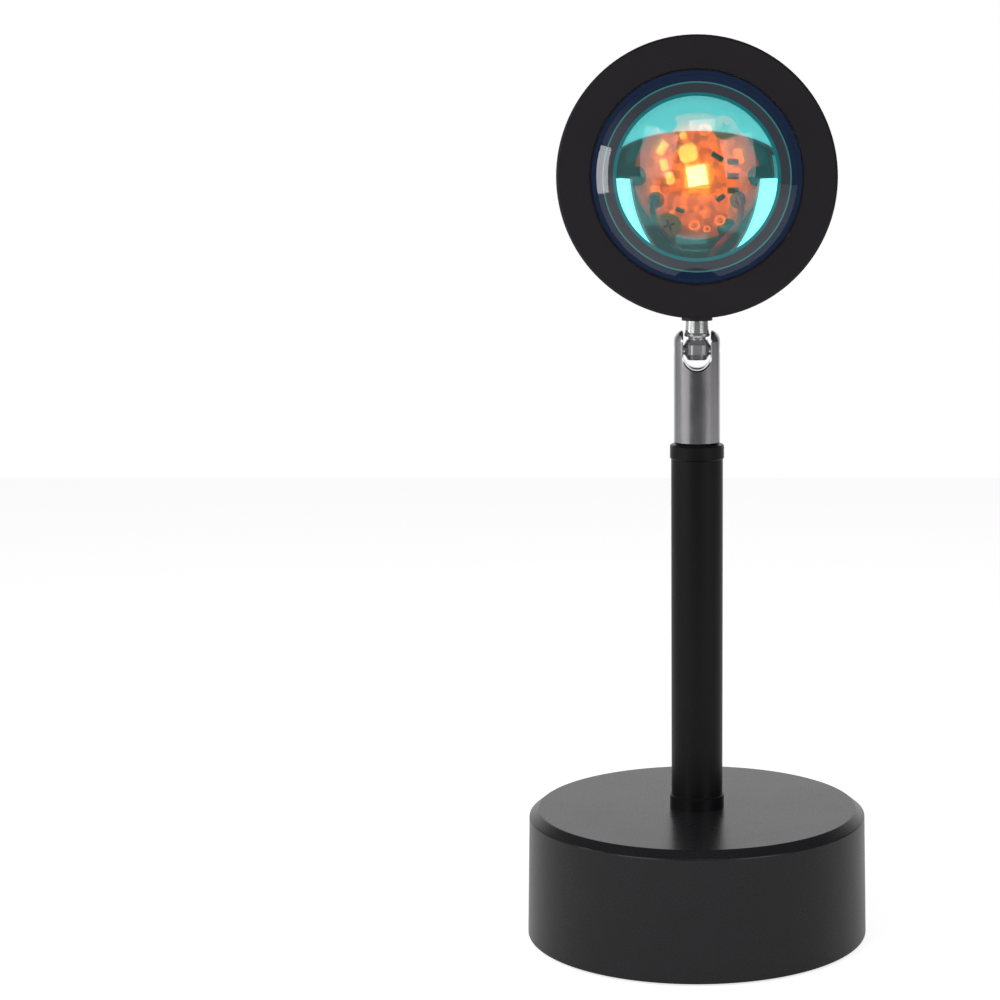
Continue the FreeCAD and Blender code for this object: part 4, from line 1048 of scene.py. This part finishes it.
@dataclass
class LampBoard(SubAssembly):
    """Lamp board with its chip, small parts, screws, leads and heat sink.

    Places and sizes on the board are in millimetres from the lens axis, turns in degrees. A ring
    has a name, its place across and up, and its radius, and a joint has a name and its place.
    """

    coats: Mapping[str, Finish] = field(default_factory=lambda: {
        "heat_sink": BLACK_ALUMINIUM, "led_board": BOARD, "led_emitter": PHOSPHOR,
        "chip_resistors": RESISTOR, "sink_screws": ZINC, "board_screws": ZINC,
        "lead_red": RED_WIRE, "lead_black": BLACK_WIRE})
    lands: Sequence[Land] = (
        Land("land_chip", -1.35, 3.35, 2.7, 2.7, 15.0, BRIGHT_PAINTED_LIGHT_LAND),
        Land("land_top", -2.15, 6.2, 1.1, 1.1, 20.0, BRIGHT_PAINTED_LIGHT_LAND),
        Land("land_left_upper", -5.4, 4.3, 1.3, 2.2, -30.0, BRIGHT_PAINTED_LIGHT_LAND),
        Land("land_left_middle", -5.0, 1.7, 1.2, 1.9, 18.0, BRIGHT_PAINTED_LIGHT_LAND),
        Land("land_left_lower", -4.05, -0.3, 1.3, 1.9, 18.0, BRIGHT_PAINTED_LIGHT_LAND),
        Land("land_left_pad", -6.3, -2.7, 1.5, 2.5, 18.0, DIM_PAINTED_LIGHT_LAND, 0.1),
        Land("land_right_pad", 6.5, 3.1, 1.6, 2.4, 12.0, DIM_PAINTED_LIGHT_LAND, 0.1),
        Land("part_upper_right", 3.1, 2.9, 2.0, 0.8, -30.0, CHIP_PLASTIC, 0.5),
        Land("part_leg_upper", 2.4, 4.1, 1.6, 0.3, -30.0, DIM_PAINTED_LIGHT_LAND, 0.2),
        Land("part_leg_lower", 3.9, 1.6, 1.5, 0.3, -30.0, DIM_PAINTED_LIGHT_LAND, 0.2),
        Land("part_lower_right", 3.6, -3.3, 1.5, 0.8, 35.0, CHIP_PLASTIC, 0.45),
        Land("part_lower_left", -2.6, -5.2, 1.4, 0.7, -20.0, CHIP_PLASTIC, 0.4),
        Land("land_lower_left", -3.9, -5.6, 0.8, 0.8, 10.0, DIM_PAINTED_LIGHT_LAND),
        Land("land_lower_middle", 0.9, -5.4, 1.2, 0.6, 20.0, DIM_PAINTED_LIGHT_LAND),
    )
    rings: Sequence[tuple[str, float, float, float]] = (
        ("via_top", 1.2, 7.2, 1.0), ("via_bottom", -0.4, -7.7, 0.9),
        ("via_right", 3.6, -6.9, 0.9), ("via_low", 1.6, -8.3, 0.6))
    joints: Sequence[tuple[str, float, float]] = (
        ("solder_joint_red", 6.41, -3.7), ("solder_joint_black", -6.41, -3.7))
    corner_share: float = 0.3
    edge_share: float = 0.4
    ring_profile: Sequence[Pair] = ((0.55, 0.0), (1.0, 0.0), (0.95, 0.09), (0.6, 0.09))
    joint_profile: Sequence[Pair] = (
        (1.35, 0.0), (1.3, 0.12), (1.0, 0.4), (0.6, 0.75), (0.25, 0.95), (0.0, 1.0))
    joint_sharp_deg: float = 60.0
    segments: int = 32
    screw_head_radius: float = 2.2
    recess_turn: float = 20.0
    recess_reach: float = 1.1
    recess_width: float = 0.42
    recess_corner_share: float = 0.4
    recess_depth: float = 0.02
    recess_edge: float = 0.01

    def add(self) -> None:
        """Add copper lands, small parts, rings, solder joints and screw recesses, with painted
        light on the lands, rings and joints and painted shade in the recesses.
        """
        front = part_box("led_board")[0][1]
        board = Seat(Vector((0.0, front, head_axis())))
        for land in self.lands:
            corner = self.corner_share * min(land.width, land.height)
            edge = self.edge_share * land.rise
            Former(board.moved(land.across, land.up, land.turn)).raised(
                land.width, land.height, corner, land.rise, edge).finished(
                land.name, land.finish, "head", "lamp_board")
        for name, across, up, radius in self.rings:
            profile = [(share * radius, height) for share, height in self.ring_profile]
            Former(board.moved(across, up)).turned(profile, self.segments, closed=True).finished(
                name, DIM_PAINTED_LIGHT_LAND, "head", "lamp_board")
        for name, across, up in self.joints:
            Former(board.moved(across, up)).turned(self.joint_profile, self.segments).finished(
                name, SOLDER, "head", "zinc_steel", self.joint_sharp_deg)
        self.recesses()

    def recesses(self) -> None:
        """Add the cross recess of each of the two board screws, in painted shade."""
        low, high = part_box("board_screws")
        across = (high[0] - low[0]) / 2.0 / MM - self.screw_head_radius
        up = (high[2] - low[2]) / 2.0 / MM - self.screw_head_radius
        front = Seat(Vector((0.0, low[1], head_axis())))
        for name, side in (("upper", 1.0), ("lower", -1.0)):
            self.recess(f"board_screw_recess_{name}",
                        front.moved(side * across, side * up, self.recess_turn))

    def recess(self, name: str, face: Seat) -> None:
        """Add one cross recess, as two bars let into the screw's head, in painted shade.

        Args:
            name: the piece's name.
            face: middle of the screw's head.
        """
        cross = Former(face)
        for turn in (0.0, 90.0):
            cross.seat = face.moved(0.0, 0.0, turn)
            cross.raised(2.0 * self.recess_reach, self.recess_width,
                         self.recess_corner_share * self.recess_width, self.recess_depth,
                         self.recess_edge, -self.recess_depth)
        cross.finished(name, PAINTED_RECESS_SHADE, "head", "zinc_steel")


def head_axis() -> float:
    """Return the height of the head's axis, in metres."""
    low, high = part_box("front_bezel")
    return (low[2] + high[2]) / 2.0


# ---------------------------------------------------------------------------------------------
# Studio
# ---------------------------------------------------------------------------------------------


@dataclass(frozen=True)
class SoftBox:
    """A soft light: its place seen from the lens, its size in metres and how bright it looks."""

    name: str
    left_deg: float
    up_deg: float
    distance: float
    width: float
    height: float
    level: float

    def build(self, target: Vector) -> bpy.types.Object:
        """Add the light, facing the target.

        Args:
            target: the point that the light faces.

        Returns:
            The light's object.
        """
        left, up = math.radians(self.left_deg), math.radians(self.up_deg)
        way = Vector((-math.sin(left) * math.cos(up), -math.cos(left) * math.cos(up),
                      math.sin(up)))
        data = bpy.data.lights.new(self.name, "AREA")
        data.shape = "RECTANGLE"
        data.size, data.size_y = self.width, self.height
        data.energy = self.level * math.pi * self.width * self.height
        light = bpy.data.objects.new(self.name, data)
        light.location = target + way * self.distance
        light.rotation_mode = "QUATERNION"
        light.rotation_quaternion = way.to_track_quat("Z", "Y")
        bpy.context.scene.collection.objects.link(light)
        LOG.info("light %s at %.0f degrees left, %.0f up", self.name, self.left_deg, self.up_deg)
        return light


@dataclass
class Studio:
    """Pale table, white surroundings, soft lights and the camera."""

    lens_centre: Vector = field(default_factory=lambda: Vector((0.0, -0.0286, 0.2)))
    camera_place: Point = (0.0, -0.640, 0.209)
    camera_pitch_deg: float = 8.24
    focal_px: float = 2480.0
    picture_px: float = 1000.0
    axis_px: float = 697.0
    sensor_mm: float = 36.0
    table_front: float = 0.62
    table_back: float = 0.9
    table_half: float = 2.2
    table_colour: Colour = (0.85, 0.85, 0.85)
    table_glow: float = 0.75
    table_sheen: float = 0.3
    behind_span: Pair = (0.6, 0.85)
    behind_levels: Pair = (0.08, 1.0)
    left_span: Pair = (-0.55, -0.9)
    left_levels: Pair = (0.0, 0.4)
    clip: Pair = (0.01, 20.0)
    boxes: Sequence[SoftBox] = (
        SoftBox("soft_box_left", left_deg=41.5, up_deg=21.5, distance=1.0, width=0.55,
                height=0.79, level=2.6),
        SoftBox("soft_box_right", left_deg=-43.5, up_deg=18.5, distance=1.0, width=0.525,
                height=0.67, level=2.6),
        SoftBox("soft_box_top", left_deg=-7.0, up_deg=51.5, distance=1.0, width=0.40,
                height=0.17, level=3.4),
        SoftBox("strip_light_side", left_deg=85.5, up_deg=4.0, distance=0.3, width=0.036,
                height=0.15, level=6.0),
        SoftBox("low_card_left", left_deg=62.0, up_deg=-6.0, distance=1.0, width=0.89,
                height=0.21, level=0.4),
        SoftBox("low_card_right", left_deg=-60.0, up_deg=-6.0, distance=1.0, width=0.45,
                height=0.21, level=0.2),
    )

    def build(self) -> None:
        """Set up the whole studio."""
        self.table()
        self.surroundings()
        for box in self.boxes:
            box.build(self.lens_centre)
        self.camera()

    def table(self) -> None:
        """Add the pale table, which keeps the lamp's shadow."""
        shader = Shader("pale_table")
        path = shader.node("ShaderNodeLightPath", output="Is Camera Ray")
        glossy = shader.node("ShaderNodeLightPath", output="Is Glossy Ray")
        through = shader.node("ShaderNodeLightPath", output="Is Transmission Ray")
        seen = path * self.table_glow + (glossy + through).capped(1.0) * self.table_sheen
        matt = shader.node("ShaderNodeBsdfDiffuse", None, {"Color": self.table_colour})
        bright = shader.node("ShaderNodeEmission", None, {"Color": WHITE, "Strength": seen})
        shader.done(shader.node("ShaderNodeAddShader", None, {0: matt, 1: bright}))
        mesh = bpy.data.meshes.new("table")
        half, front, back = self.table_half, -self.table_front, self.table_back
        corners = [(-half, front, 0.0), (half, front, 0.0), (half, back, 0.0), (-half, back, 0.0)]
        mesh.from_pydata(corners, [], [(0, 1, 2, 3)])
        mesh.materials.append(shader.material)
        table = bpy.data.objects.new("table", mesh)
        bpy.context.scene.collection.objects.link(table)

    def surroundings(self) -> None:
        """Make the surroundings white to the camera and behind the lamp, and dim in front.

        What lights the lamp and shows in it rises to white behind it and to pale grey at its left.
        """
        world = bpy.data.worlds.new("studio")
        world.use_nodes = True
        graph = Graph(world.node_tree)
        way = graph.node("ShaderNodeTexCoord", output="Generated")
        behind = graph.fade(graph.along(way, "Y"), self.behind_span, self.behind_levels)
        left = graph.fade(graph.along(way, "X"), self.left_span, self.left_levels)
        seen = graph.node("ShaderNodeLightPath", output="Is Camera Ray")
        light = graph.node("ShaderNodeBackground", None, {
            "Color": WHITE, "Strength": seen.raised_to(behind.raised_to(left))})
        graph.new_node("ShaderNodeOutputWorld", None, {"Surface": light})
        bpy.context.scene.world = world

    def camera(self) -> None:
        """Add the camera at the photograph's viewing angle."""
        data = bpy.data.cameras.new("camera")
        data.sensor_width = self.sensor_mm
        data.lens = self.sensor_mm * self.focal_px / self.picture_px
        data.shift_x = (self.picture_px / 2.0 - self.axis_px) / self.picture_px
        data.clip_start, data.clip_end = self.clip
        camera = bpy.data.objects.new("camera", data)
        camera.location = self.camera_place
        camera.rotation_euler = (math.radians(90.0 - self.camera_pitch_deg), 0.0, 0.0)
        bpy.context.scene.collection.objects.link(camera)
        bpy.context.scene.camera = camera


def main() -> None:
    """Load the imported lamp, dress it, add its details and set up the studio."""
    logging.basicConfig(level=logging.INFO, format="%(message)s")
    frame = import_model()
    nodes = frame["nodes"]
    for assembly in (Base(nodes), Stem(nodes), Knuckle(nodes), Head(nodes), Optics(nodes),
                     LampBoard(nodes)):
        assembly.dress()
        assembly.add()
    Studio().build()
    bpy.context.scene.view_settings.view_transform = "Standard"


if __name__ == "__main__":
    main()
